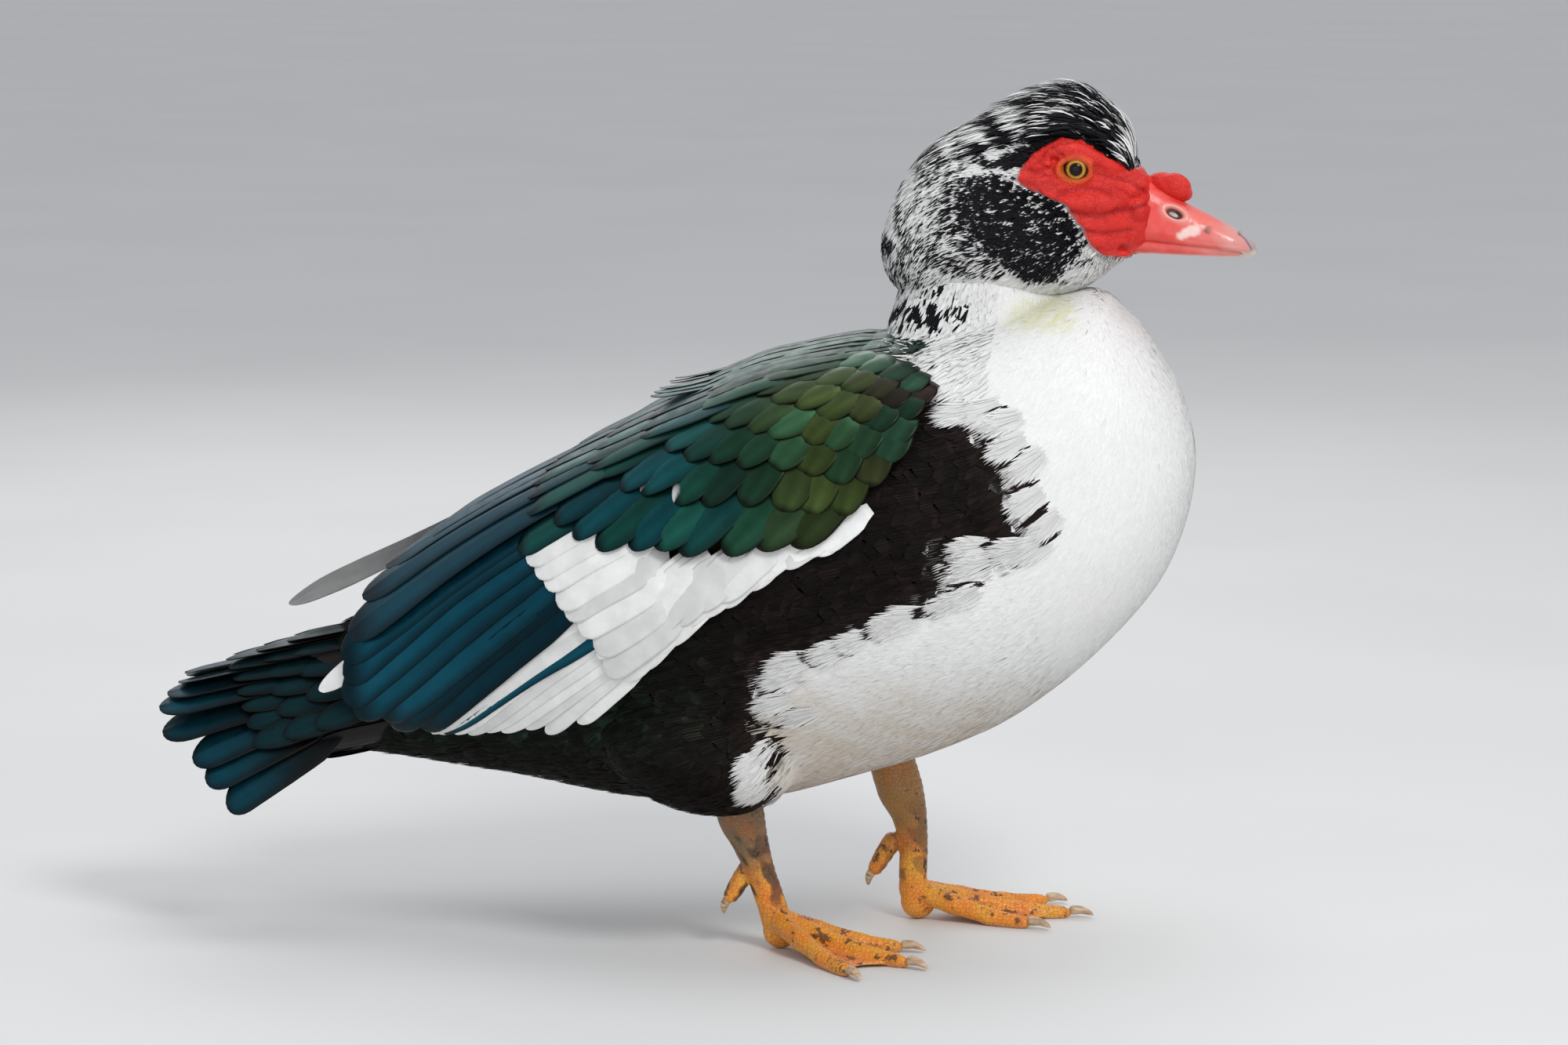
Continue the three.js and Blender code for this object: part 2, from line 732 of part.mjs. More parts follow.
// Each tier runs from its first feather to its last. Roots, tips and lifts are places on the
// wing bed: distance along the body, arc from the middle of the back, and height over the bed.
const FLIGHT_SHAPE = { shares: [0, 0.3, 0.86, 1], widths: [0.62, 1, 0.84, 0.24], columns: 3 };
const ARCHED_SHAPE = { shares: [0, 0.3, 0.55, 0.86, 1], widths: [0.62, 1, 1, 0.84, 0.3], columns: 3 };
const COVERT_SHAPE = { shares: [0, 0.42, 0.84, 1], widths: [0.7, 1, 0.9, 0.34], columns: 2 };
const WING_TIERS = [
  {
    count: 5, width: 15, slope: 0.2, shape: FLIGHT_SHAPE,
    roots: [[300, 138], [292, 168]],
    tips: [[428, 132], [398, 154], [346, 181]],
    lift: [-2.4, 0.6, 0.6, 0.6],
  },
  {
    count: 6, width: 16.5, slope: 0.15, shape: FLIGHT_SHAPE,
    roots: [[302, 70], [302, 124]],
    tips: [[463, 66], [467, 88], [456, 107], [435, 127]],
    lift: [-2.2, 1.9, 2, 1.8],
  },
  {
    count: 4, width: 20, slope: 0.1, shape: FLIGHT_SHAPE,
    roots: [[244, 14], [258, 60]],
    tips: [[404, 14], [424, 25], [441, 39], [457, 56]],
    lift: [-0.6, 5, 6.2, 5],
  },
  {
    count: 6, width: 17, slope: 0.125, shape: COVERT_SHAPE,
    roots: [[280, 86], [264, 154]],
    tips: [[350, 84], [339, 104], [328, 130], [316, 160]],
    lift: [-0.6, 4.2, 4.5, 4.2],
  },
  {
    count: 5, width: 21, slope: 0.11, shape: COVERT_SHAPE,
    roots: [[266, 74], [246, 94], [220, 108], [192, 116], [166, 124]],
    tips: [[326, 84], [304, 108], [276, 124], [242, 134], [206, 150]],
    lift: [-0.4, 5, 7.2, 7],
  },
  {
    count: 4, width: 20, slope: 0.08, shape: FLIGHT_SHAPE,
    roots: [[206, 13], [226, 62]],
    tips: [[318, 14], [336, 40], [340, 66]],
    lift: [-0.4, 5.6, 7.6, 7],
  },
  {
    count: 3, width: 22, slope: 0.07, shape: COVERT_SHAPE,
    roots: [[176, 14], [190, 52]],
    tips: [[254, 15], [266, 58]],
    lift: [-0.4, 6.8, 9.8, 9.2],
  },
];

// The longest primaries show only past the other tips: low on the right, high on the left
const LONG_PRIMARIES = {
  right: {
    count: 1, width: 16, slope: 0.08, shape: FLIGHT_SHAPE,
    roots: [[306, 90], [306, 90]],
    tips: [[484, 72], [484, 72]],
    lift: [-2.4, -1.6, -1.4, -1],
  },
  left: {
    count: 1, width: 23, slope: 0.06, shape: ARCHED_SHAPE,
    roots: [[306, 50], [306, 50]],
    tips: [[505, 24], [505, 24]],
    lift: [-2.4, 2, 11, 12, 9],
  },
};
const VANE_THICKNESS = [0.8, 0.55];
const SHAFT_CROWN = 0.12;
const NEAREST_TO_BACK = 2.4;

// One feather on the bed, its inner edge low and its outer edge raised over its neighbour
function wingVane(tier, share, hand) {
  const pick = (rows) => {
    const spread = rows.map((row, i) => i / (rows.length - 1));
    return [0, 1].map((k) => curveThrough(spread, rows.map((row) => row[k]))(share));
  };
  const root = pick(tier.roots);
  const tip = pick(tier.tips);
  const length = Math.hypot(tip[0] - root[0], tip[1] - root[1]);
  const ahead = [(tip[0] - root[0]) / length, (tip[1] - root[1]) / length];
  const upper = [];
  const lower = [];
  tier.shape.shares.forEach((along, i) => {
    const half = (tier.width * tier.shape.widths[i]) / 2;
    const thickness = THREE.MathUtils.lerp(VANE_THICKNESS[0], VANE_THICKNESS[1], along);
    const columns = tier.shape.columns;
    const row = [];
    const under = [];
    for (let j = 0; j < columns; j += 1) {
      const u = (2 * j) / (columns - 1) - 1;
      const crown = SHAFT_CROWN * (1 - Math.abs(u)) + tier.lift[i] + tier.slope * half * u;
      const distance = root[0] + ahead[0] * length * along - ahead[1] * half * u;
      const arc = Math.max(root[1] + ahead[1] * length * along + ahead[0] * half * u, NEAREST_TO_BACK);
      row.push(onBed(distance, arc, crown, hand));
      under.push(onBed(distance, arc, crown - thickness, hand));
    }
    upper.push(row);
    lower.push(under);
  });
  return closedSheet(upper, lower);
}

function wingForm(hand, sideName) {
  const pieces = [wingPlate(hand)];
  for (const tier of [...WING_TIERS, LONG_PRIMARIES[sideName]]) {
    for (let i = 0; i < tier.count; i += 1) {
      pieces.push(wingVane(tier, i / Math.max(tier.count - 1, 1), hand));
    }
  }
  return joined(pieces.map(solid));
}

// Tail: a core under the rump and an arched fan of broad feathers, the outer ones lowest

const TAIL_CORE = [
  [448, -10, -10, -10, 0],
  [454, 21, -10, -42, 28],
  [476, 20, -12, -46, 29],
  [505, 13, -14, -40, 24],
  [528, 4, -16, -30, 15],
  [540, -16, -16, -16, 0],
];
const TAIL_PAIRS = 6;
const TAIL_ROOT_DISTANCE = 470;

// Tips of the fan: 0 is the middle of the tail and 1 its outermost feather
const TAIL_TIPS = [
  [0, 570, 15, 8],
  [0.35, 582, 3, 25],
  [0.7, 562, -26, 43],
  [1, 550, -50, 52],
];
const tailTip = [1, 2, 3].map((k) => column(TAIL_TIPS, (row) => row[k]));

function archRoot(share) {
  return { distance: TAIL_ROOT_DISTANCE, above: 13 - 36 * share ** 1.3, side: 4 + 21 * share };
}

function archTip(share) {
  const [distance, above, side] = tailTip.map((value) => value(share));
  return { distance, above, side };
}

// A feather between two places of the arch, turned to face out of it
function tailVane(root, tip, facing, { width, slope, lift, shape, hand }) {
  const out = [Math.cos(facing), Math.sin(facing)];
  const round = [-Math.sin(facing), Math.cos(facing)];
  const upper = [];
  const lower = [];
  shape.shares.forEach((along, i) => {
    const half = (width * shape.widths[i]) / 2;
    const thickness = THREE.MathUtils.lerp(VANE_THICKNESS[0], VANE_THICKNESS[1], along);
    const row = [];
    const under = [];
    for (let j = 0; j < shape.columns; j += 1) {
      const u = (2 * j) / (shape.columns - 1) - 1;
      const height = lift[i] + SHAFT_CROWN * (1 - Math.abs(u)) + slope * half * u;
      const place = (level) => alongBody(
        THREE.MathUtils.lerp(root.distance, tip.distance, along),
        THREE.MathUtils.lerp(root.above, tip.above, along) + out[0] * level + round[0] * half * u,
        hand * (THREE.MathUtils.lerp(root.side, tip.side, along) + out[1] * level + round[1] * half * u));
      row.push(place(height));
      under.push(place(height - thickness));
    }
    upper.push(row);
    lower.push(under);
  });
  return closedSheet(upper, lower);
}

const RECTRIX = {
  width: 25, slope: 0.16, lift: [0, 0, 0, -0.3],
  shape: { shares: [0, 0.5, 0.9, 1], widths: [0.26, 0.84, 1, 0.46], columns: 3 },
};
const TAIL_COVERT = {
  width: 20, slope: 0.1, lift: [-1, 3.4, 4, 3.4],
  shape: COVERT_SHAPE,
};
const UPPER_COVERT_PAIRS = 3;
const UNDER_COVERT_PAIRS = 2;

function tailSolid() {
  const pieces = [loft(TAIL_CORE, { place: alongBody, rings: 8, around: 12 })];
  const middle = { ...RECTRIX, width: 22, slope: 0, lift: [0.4, 2, 2.2, 1.8], hand: 1 };
  const middleRoot = { distance: TAIL_ROOT_DISTANCE, above: 13, side: 0 };
  pieces.push(tailVane(middleRoot, { distance: 571, above: 16, side: 0 }, 0, middle));
  for (const hand of [-1, 1]) {
    for (let i = 0; i < TAIL_PAIRS; i += 1) {
      const share = i / (TAIL_PAIRS - 1);
      const facing = THREE.MathUtils.degToRad(6 + 62 * share ** 0.8);
      pieces.push(tailVane(archRoot(share), archTip(share), facing, { ...RECTRIX, hand }));
    }
    for (let i = 0; i < UPPER_COVERT_PAIRS; i += 1) {
      const share = 0.1 + 0.36 * i;
      const facing = THREE.MathUtils.degToRad(8 + 56 * share ** 0.8);
      const root = { distance: 458, above: 16 - 33 * share ** 1.4, side: 5 + 20 * share };
      const tip = { distance: 536 - 12 * share, above: 20 - 46 * share ** 1.5, side: 9 + 32 * share };
      pieces.push(tailVane(root, tip, facing, { ...TAIL_COVERT, hand }));
    }
    for (let i = 0; i < UNDER_COVERT_PAIRS; i += 1) {
      const root = { distance: 460, above: -42 + 6 * i, side: 5 + 13 * i };
      const tip = { distance: 546 - 10 * i, above: -40 + 5 * i, side: 8 + 17 * i };
      const facing = THREE.MathUtils.degToRad(180 - 36 * i);
      const under = { ...TAIL_COVERT, slope: -0.1, lift: [-3, 1.4, 2, 1.6], hand };
      pieces.push(tailVane(root, tip, facing, under));
    }
  }
  return joined(pieces.map(solid));
}

// Assembly

const model = new THREE.Group();

function add(name, geometry, color, roughness) {
  const material = new THREE.MeshStandardMaterial({ color, roughness, metalness: 0 });
  const mesh = new THREE.Mesh(geometry, material);
  mesh.name = name;
  model.add(mesh);
}

add("torso", largest(cut(solid(torsoForm), [neckGrown])), BLACK_GREEN, 0.8);
add("neck", neckForm, WHITE, 0.9);
add("head", headGeometry, FACE_RED, 0.8);
add("bill_upper", billUpper, BILL_PINK, 0.5);
add("bill_lower", billLower, FACE_RED, 0.5);

for (const [sideName, leg] of Object.entries(LEGS)) {
  const thigh = thighForm(leg);
  const { toe, claw } = hindToe(leg);
  const heelAndToes = [heelForm(leg), ...TOES.map((_, i) => toeForm(leg, i))];
  const footTools = heelAndToes.map((form) => grown(form));
  const foot = [...heelAndToes, webForm(leg, 0), webForm(leg, 1)].map(solid);
  const shank = [shankForm(leg), toe].map(solid);
  const wing = wingForm(leg.hand, sideName);
  add(`thigh_${sideName}`, largest(cut(solid(thigh), [torsoGrown])), BLACK_GREEN, 0.9);
  const shankCut = cut(joined(shank), [torsoGrown, grown(thigh), ...footTools]);
  add(`shank_${sideName}`, largest(shankCut), SHANK_BROWN, 0.6);
  add(`foot_${sideName}`, largest(cut(joined(foot), [floor])), FOOT_ORANGE, 0.6);
  TOES.forEach((name, i) => {
    const toeClaw = cut(solid(clawForm(leg, i)), [...footTools, floor]);
    add(`claw_${name}_${sideName}`, largest(toeClaw), CLAW_PALE, 0.4);
  });
  add(`claw_hind_${sideName}`, largest(cut(solid(claw), [grown(toe)])), CLAW_PALE, 0.4);
  add(`eye_${sideName}`, eyeForm(leg.hand), EYE_DARK, 0.1);
  add(`wing_${sideName}`, largest(cut(wing, [torsoGrown, neckGrown, grown(thigh)])), BLACK_GREEN, 0.6);
}
add("tail", largest(cut(tailSolid(), [torsoGrown])), BLACK_GREEN, 0.6);

export default model;
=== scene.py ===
"""A standing muscovy drake at life size: skin, bill, eyes, legs, plumage, floor and light."""

import math

import bmesh
import bpy
import numpy as np
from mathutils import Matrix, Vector
from mathutils.bvhtree import BVHTree


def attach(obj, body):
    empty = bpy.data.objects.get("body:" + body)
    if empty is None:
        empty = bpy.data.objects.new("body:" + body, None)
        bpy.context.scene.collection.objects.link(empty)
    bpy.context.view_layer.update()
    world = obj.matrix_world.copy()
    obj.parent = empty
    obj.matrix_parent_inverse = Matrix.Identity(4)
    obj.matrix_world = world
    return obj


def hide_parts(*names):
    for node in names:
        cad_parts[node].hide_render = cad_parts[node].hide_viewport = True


bl_info = {
    "name": "Muscovy Drake",
    "version": (1, 0, 0),
    "blender": (4, 5, 0),
    "location": "3D View > Sidebar > Drake",
    "description": "Dresses the drake's solids with skin, horn and plumage",
    "category": "Add Mesh",
}

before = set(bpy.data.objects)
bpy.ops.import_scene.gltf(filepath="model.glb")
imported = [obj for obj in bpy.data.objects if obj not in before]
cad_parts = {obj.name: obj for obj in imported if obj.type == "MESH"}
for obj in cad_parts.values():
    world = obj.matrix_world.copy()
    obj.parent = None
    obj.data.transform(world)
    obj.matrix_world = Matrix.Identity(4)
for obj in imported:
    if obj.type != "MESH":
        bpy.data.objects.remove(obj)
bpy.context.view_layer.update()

# Lengths below are millimetres unless a name says otherwise. "Forward" runs towards the bill,
# "side" is positive on the bird's left and "up" starts at the ground.
MM = 0.001
MIDDLE_FORWARD = -46
AXIS_TILT = math.radians(14.5)
AXIS_START = (222, 262)
EYE = {"forward": 157.6, "up": 419.2, "side": 26.2, "radius": 8.2}
HANDS = {"right": -1, "left": 1}
# Cell of the voxel surface that each form is rebuilt with
VOXEL = {"head": 1.08, "body": 3.0, "bill": 0.62, "leg": 0.85}

# Stations: place along the form, top, widest level, bottom, half width
TORSO = [
    (-1, 22, 22, 22, 0), (4, 53, 20, -6, 40), (14, 81, 17, -28, 62), (32, 104, 13, -53, 80),
    (60, 106, 9, -75, 93), (100, 104, 6, -97, 101), (143, 104, 5, -112, 105),
    (200, 102.5, 4, -119, 104), (250, 93, 0, -121, 98), (300, 78, -6, -114, 87),
    (345, 62, -12, -101, 73), (385, 48, -15, -83, 58), (425, 37, -15, -67, 44),
    (457, 28, -14, -54, 33), (480, 20, -13, -45, 24), (492, -12, -12, -12, 0),
]
WING_BED = [
    (20, 94, 15, -38, 70), (60, 107, 9, -76, 94), (100, 105, 6, -98, 102), (143, 105, 5, -113, 106),
    (200, 104.5, 5, -120, 106), (250, 96.5, 5, -122, 104), (300, 86, 2, -115, 98),
    (345, 76, 0, -96, 89), (387, 65, -2, -76, 78), (425, 54, -4, -58, 66), (460, 46, -5, -44, 55),
    (500, 37, -6, -32, 43), (540, 29, -7, -22, 34),
]
NECK = [
    (292, 108, 104, 100, 0), (298, 146, 104, 64, 34), (318, 158, 104, 57, 42),
    (334, 153, 104, 57, 37), (346, 147, 104, 61, 31), (360, 145, 104, 64, 29),
    (368, 132, 104, 76, 21), (371, 108, 104, 100, 0),
]
HEAD = [
    (54, 376, 376, 376, 0), (57, 390, 376, 361, 17), (64, 407, 377, 353, 25),
    (80, 426, 380, 346, 33), (100, 437, 384, 345, 37), (121, 444, 386, 346, 38),
    (137, 449, 388, 347, 37), (150, 451, 391, 350, 35), (166, 446, 394, 358, 30.5),
    (179, 436, 396, 368, 24), (187, 424, 397, 372, 19.5), (193, 415, 396, 375, 16),
    (197, 406, 395, 382, 10), (198.5, 395, 395, 395, 0),
]
BILL_UPPER = [
    (183, 395, 395, 395, 0), (185, 408, 388, 381, 12), (192, 413, 387, 379.2, 14),
    (200, 409, 385, 378.6, 14), (208, 403.5, 383, 378, 13.6), (216, 399, 381, 377.2, 13.2),
    (224, 395, 380, 376.6, 13.2), (232, 391, 379, 376, 13.4), (239, 387, 378, 375.4, 12.8),
    (245, 382.5, 377, 374.6, 10.2), (248.5, 378.5, 376, 373.6, 5.5), (250, 376, 376, 376, 0),
]
BILL_LOWER = [
    (172, 380, 380, 380, 0), (175, 384, 379, 374.6, 8), (186, 384, 378, 373.4, 10.6),
    (200, 384, 377, 373, 11.2), (216, 384, 376, 372.4, 10.8), (230, 384, 375.5, 372, 10.4),
    (239, 384, 375, 372, 8.6), (244, 374, 374, 374, 0),
]


# Placing

def at(forward, side, up):
    forward, side, up = np.broadcast_arrays(forward, side, up)
    return np.stack([side, MIDDLE_FORWARD - forward, up], -1).astype(float)


def along_body(distance, above, side):
    c, s = math.cos(AXIS_TILT), math.sin(AXIS_TILT)
    return at(AXIS_START[0] - distance * c - above * s, side, AXIS_START[1] - distance * s + above * c)


def to_body(points):
    """Distance along the body's axis, height over it and side of each point."""
    forward, up = MIDDLE_FORWARD - points[..., 1] - AXIS_START[0], points[..., 2] - AXIS_START[1]
    c, s = math.cos(AXIS_TILT), math.sin(AXIS_TILT)
    return -forward * c - up * s, -forward * s + up * c, points[..., 0]


def ramp(low, high, x):
    x = np.clip((x - low) / (high - low), 0, 1)
    return x * x * (3 - 2 * x)


def mix(a, b, share):
    return a + (b - a) * share


def unit(v):
    return v / np.maximum(np.linalg.norm(v, axis=-1, keepdims=True), 1e-9)


def end_slope(near, far, slope_near, slope_far):
    slope = ((2 * near + far) * slope_near - near * slope_far) / (near + far)
    if slope * slope_near <= 0:
        return 0
    steep = slope_near * slope_far <= 0 and abs(slope) > abs(3 * slope_near)
    return 3 * slope_near if steep else slope


def curve_through(xs, ys):
    """A curve through the stations that never swings past them."""
    xs, ys = np.asarray(xs, float), np.asarray(ys, float)
    width = np.diff(xs)
    slope = np.diff(ys) / width
    tangent = np.full(len(xs), slope[0])
    if len(xs) > 2:
        before, after = slope[:-1], slope[1:]
        turns = before * after > 0
        a, b = 2 * width[1:] + width[:-1], width[1:] + 2 * width[:-1]
        safe = np.where(turns, before, 1), np.where(turns, after, 1)
        tangent[1:-1] = np.where(turns, (a + b) / (a / safe[0] + b / safe[1]), 0)
        tangent[0] = end_slope(width[0], width[1], slope[0], slope[1])
        tangent[-1] = end_slope(width[-1], width[-2], slope[-1], slope[-2])

    def value(x):
        x = np.clip(x, xs[0], xs[-1])
        i = np.clip(np.searchsorted(xs, x, side="right") - 1, 0, len(width) - 1)
        u = (x - xs[i]) / width[i]
        v = 1 - u
        return (ys[i] * (1 + 2 * u) * v * v + tangent[i] * width[i] * u * v * v
                + ys[i + 1] * u * u * (3 - 2 * u) - tangent[i + 1] * width[i] * u * u * v)
    return value


def sections(rows, roundness=2.2):
    """Rounded sections: the height and side at a place along the form and a turn from its top."""
    rows = np.array(rows, float)
    x = rows[:, 0]
    middle = curve_through(x, rows[:, 2])
    above = curve_through(x, (rows[:, 1] - rows[:, 2]) ** 2)
    below = curve_through(x, (rows[:, 2] - rows[:, 3]) ** 2)
    half = curve_through(x, rows[:, 4] ** 2)
    power = 2 / roundness

    def place(x, angle):
        c, s = np.cos(angle), np.sin(angle)
        reach = np.sqrt(np.maximum(np.where(c > 0, above(x), below(x)), 0))
        return (middle(x) + reach * np.sign(c) * np.abs(c) ** power,
                np.sqrt(np.maximum(half(x), 0)) * np.sign(s) * np.abs(s) ** power)
    return place


BED_SECTION = sections(WING_BED)
HEAD_SECTION = sections(HEAD, 2.1)


# Grids and closed forms as (points, faces)

def grid_faces(rows, columns, wrap=False):
    i, j = np.meshgrid(np.arange(rows - 1), np.arange(columns if wrap else columns - 1), indexing="ij")
    k = (j + 1) % columns
    quads = [i * columns + j, i * columns + k, (i + 1) * columns + k, (i + 1) * columns + j]
    return np.stack(quads, -1).reshape(-1, 4)


def closed_rings(rings, start, end):
    """Rings (n, around, 3) closed by a point at each end."""
    n, around = rings.shape[:2]
    points = np.concatenate([rings.reshape(-1, 3), [start, end]])
    j = np.arange(around)
    k = (j + 1) % around
    first = np.stack([k, j, np.full(around, n * around)], -1)
    last = np.stack([(n - 1) * around + j, (n - 1) * around + k, np.full(around, n * around + 1)], -1)
    return points, [grid_faces(n, around, True), first, last]


def merged(forms):
    points, faces, start = [], [], 0
    for p, groups in forms:
        points.append(p)
        faces += [g + start for g in groups]
        start += len(p)
    return np.concatenate(points), faces


def loft(rows, place, rings, around, roundness=2.2):
    section = sections(rows, roundness)
    even = np.arange(1, rings) / rings
    share = mix(even, (1 - np.cos(np.pi * even)) / 2, 0.6)
    x = mix(rows[0][0], rows[-1][0], share)[:, None]
    height, side = section(x, 2 * np.pi * np.arange(around)[None] / around)
    return closed_rings(place(x, height, side), place(rows[0][0], rows[0][2], 0),
                        place(rows[-1][0], rows[-1][2], 0))


def path_through(points, steps):
    """Evenly spread places on a smooth path through the points."""
    points = np.asarray(points, float)
    run = np.concatenate([[0], np.cumsum(np.linalg.norm(np.diff(points, axis=0), axis=1))])
    x = np.linspace(0, run[-1], steps)
    return np.stack([curve_through(run, points[:, k])(x) for k in range(points.shape[1])], -1)


def bar(points, radii, around=24, steps=24, flatten=1.0, relief=None):
    """A round bar along points with domed ends. relief(share, angle) swells its skin."""
    rows = path_through(np.column_stack([points, radii]), steps)
    path, radius = rows[:, :3], rows[:, 3]
    along = unit(np.gradient(path, axis=0))
    level = np.where(np.abs(along[:, 2:3]) > 0.9, [[0, -1, 0]], [[0, 0, 1]])
    across = unit(np.cross(along, level))
    rise = np.cross(across, along)
    share = np.linspace(0, 1, steps)
    dome = np.sqrt(np.clip(1 - (1 - np.minimum(share, 1 - share) * steps / 4) ** 2, 0.06, 1))
    dome = np.where(np.minimum(share, 1 - share) * steps / 4 > 1, 1, dome)
    angle = 2 * np.pi * np.arange(around) / around
    r = (radius * dome)[:, None] + (relief(share[:, None], angle[None]) if relief else 0)
    rings = (path[:, None] + (r * np.cos(angle))[..., None] * across[:, None]
             + (r * flatten * np.sin(angle))[..., None] * rise[:, None])
    return closed_rings(rings, path[0] - 0.2 * radius[0] * along[0], path[-1] + 0.2 * radius[-1] * along[-1])


def bulb(centre, half, pitch=0.0, around=32, rings=20):
    polar = (np.pi * np.arange(1, rings) / rings)[:, None]
    angle = 2 * np.pi * np.arange(around)[None] / around
    x = half[0] * np.sin(polar) * np.cos(angle)
    y = -half[1] * np.cos(polar) * np.ones_like(angle)
    z = half[2] * np.sin(polar) * np.sin(angle)
    c, s = math.cos(pitch), math.sin(pitch)
    turned = lambda x, y, z: np.stack(np.broadcast_arrays(x, c * y - s * z, s * y + c * z), -1) + centre
    return closed_rings(turned(x, y, z), turned(0, -half[1], 0), turned(0, half[1], 0))


def new_piece(name, form, material, smooth=True, colours=None, numbers=None, maps=None):
    """A mesh object from (points in millimetres, faces). Colours, numbers and maps are per point."""
    points, groups = form
    mesh = bpy.data.meshes.new(name)
    counts = np.concatenate([np.full(len(g), g.shape[1]) for g in groups]).astype(np.int32)
    corners = np.concatenate([g.ravel() for g in groups]).astype(np.int32)
    mesh.vertices.add(len(points))
    mesh.vertices.foreach_set("co", (points * MM).astype(np.float32).ravel())
    mesh.loops.add(len(corners))
    mesh.loops.foreach_set("vertex_index", corners)
    mesh.polygons.add(len(counts))
    mesh.polygons.foreach_set("loop_start", (np.cumsum(counts) - counts).astype(np.int32))
    mesh.update(calc_edges=True)
    mesh.validate()
    for label, values in (maps or {}).items():
        layer = mesh.uv_layers.new(name=label)
        layer.data.foreach_set("uv", values[corners].astype(np.float32).ravel())
    for label, values in (colours or {}).items():
        layer = mesh.color_attributes.new(label, "FLOAT_COLOR", "POINT")
        full = np.column_stack([values, np.ones(len(values))])
        layer.data.foreach_set("color", full.astype(np.float32).ravel())
    for label, values in (numbers or {}).items():
        layer = mesh.attributes.new(label, "FLOAT", "POINT")
        layer.data.foreach_set("value", np.asarray(values, np.float32))
    if smooth:
        mesh.polygons.foreach_set("use_smooth", np.ones(len(counts), bool))
    mesh.materials.append(material)
    piece = bpy.data.objects.new(name, mesh)
    bpy.context.scene.collection.objects.link(piece)
    return piece


def finished(piece, nodes=()):
    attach(piece, "root")
    if nodes:
        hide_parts(*nodes)
    return piece


def remeshed(name, form, voxel, rounds=3):
    """One closed surface over overlapping closed forms, as (points, faces, normals)."""
    blank = bpy.data.materials.get("blank") or bpy.data.materials.new("blank")
    piece = new_piece(name, form, blank)
    flip_outward(piece.data)
    cover = piece.modifiers.new("Cover", "REMESH")
    cover.mode, cover.voxel_size = "VOXEL", voxel * MM
    smooth = piece.modifiers.new("Smooth", "SMOOTH")
    smooth.factor, smooth.iterations = 0.5, rounds
    shown = piece.evaluated_get(bpy.context.evaluated_depsgraph_get())
    mesh = bpy.data.meshes.new_from_object(shown)
    points, faces, normals = read_mesh(mesh)
    bpy.data.objects.remove(piece)
    bpy.data.meshes.remove(mesh)
    return points, faces, normals


def flip_outward(mesh):
    soft = bmesh.new()
    soft.from_mesh(mesh)
    bmesh.ops.recalc_face_normals(soft, faces=soft.faces)
    soft.to_mesh(mesh)
    soft.free()


def read_mesh(mesh):
    points = np.empty(len(mesh.vertices) * 3, np.float32)
    mesh.vertices.foreach_get("co", points)
    normals = np.empty(len(mesh.vertices) * 3, np.float32)
    mesh.vertex_normals.foreach_get("vector", normals)
    corners = np.empty(len(mesh.loops), np.int32)
    mesh.loops.foreach_get("vertex_index", corners)
    counts = np.empty(len(mesh.polygons), np.int32)
    mesh.polygons.foreach_get("loop_total", counts)
    starts = np.cumsum(counts) - counts
    faces = []
    for size in np.unique(counts):
        first = starts[counts == size]
        faces.append(corners[first[:, None] + np.arange(size)])
    return points.reshape(-1, 3).astype(float) / MM, faces, normals.reshape(-1, 3).astype(float)


# Finishes

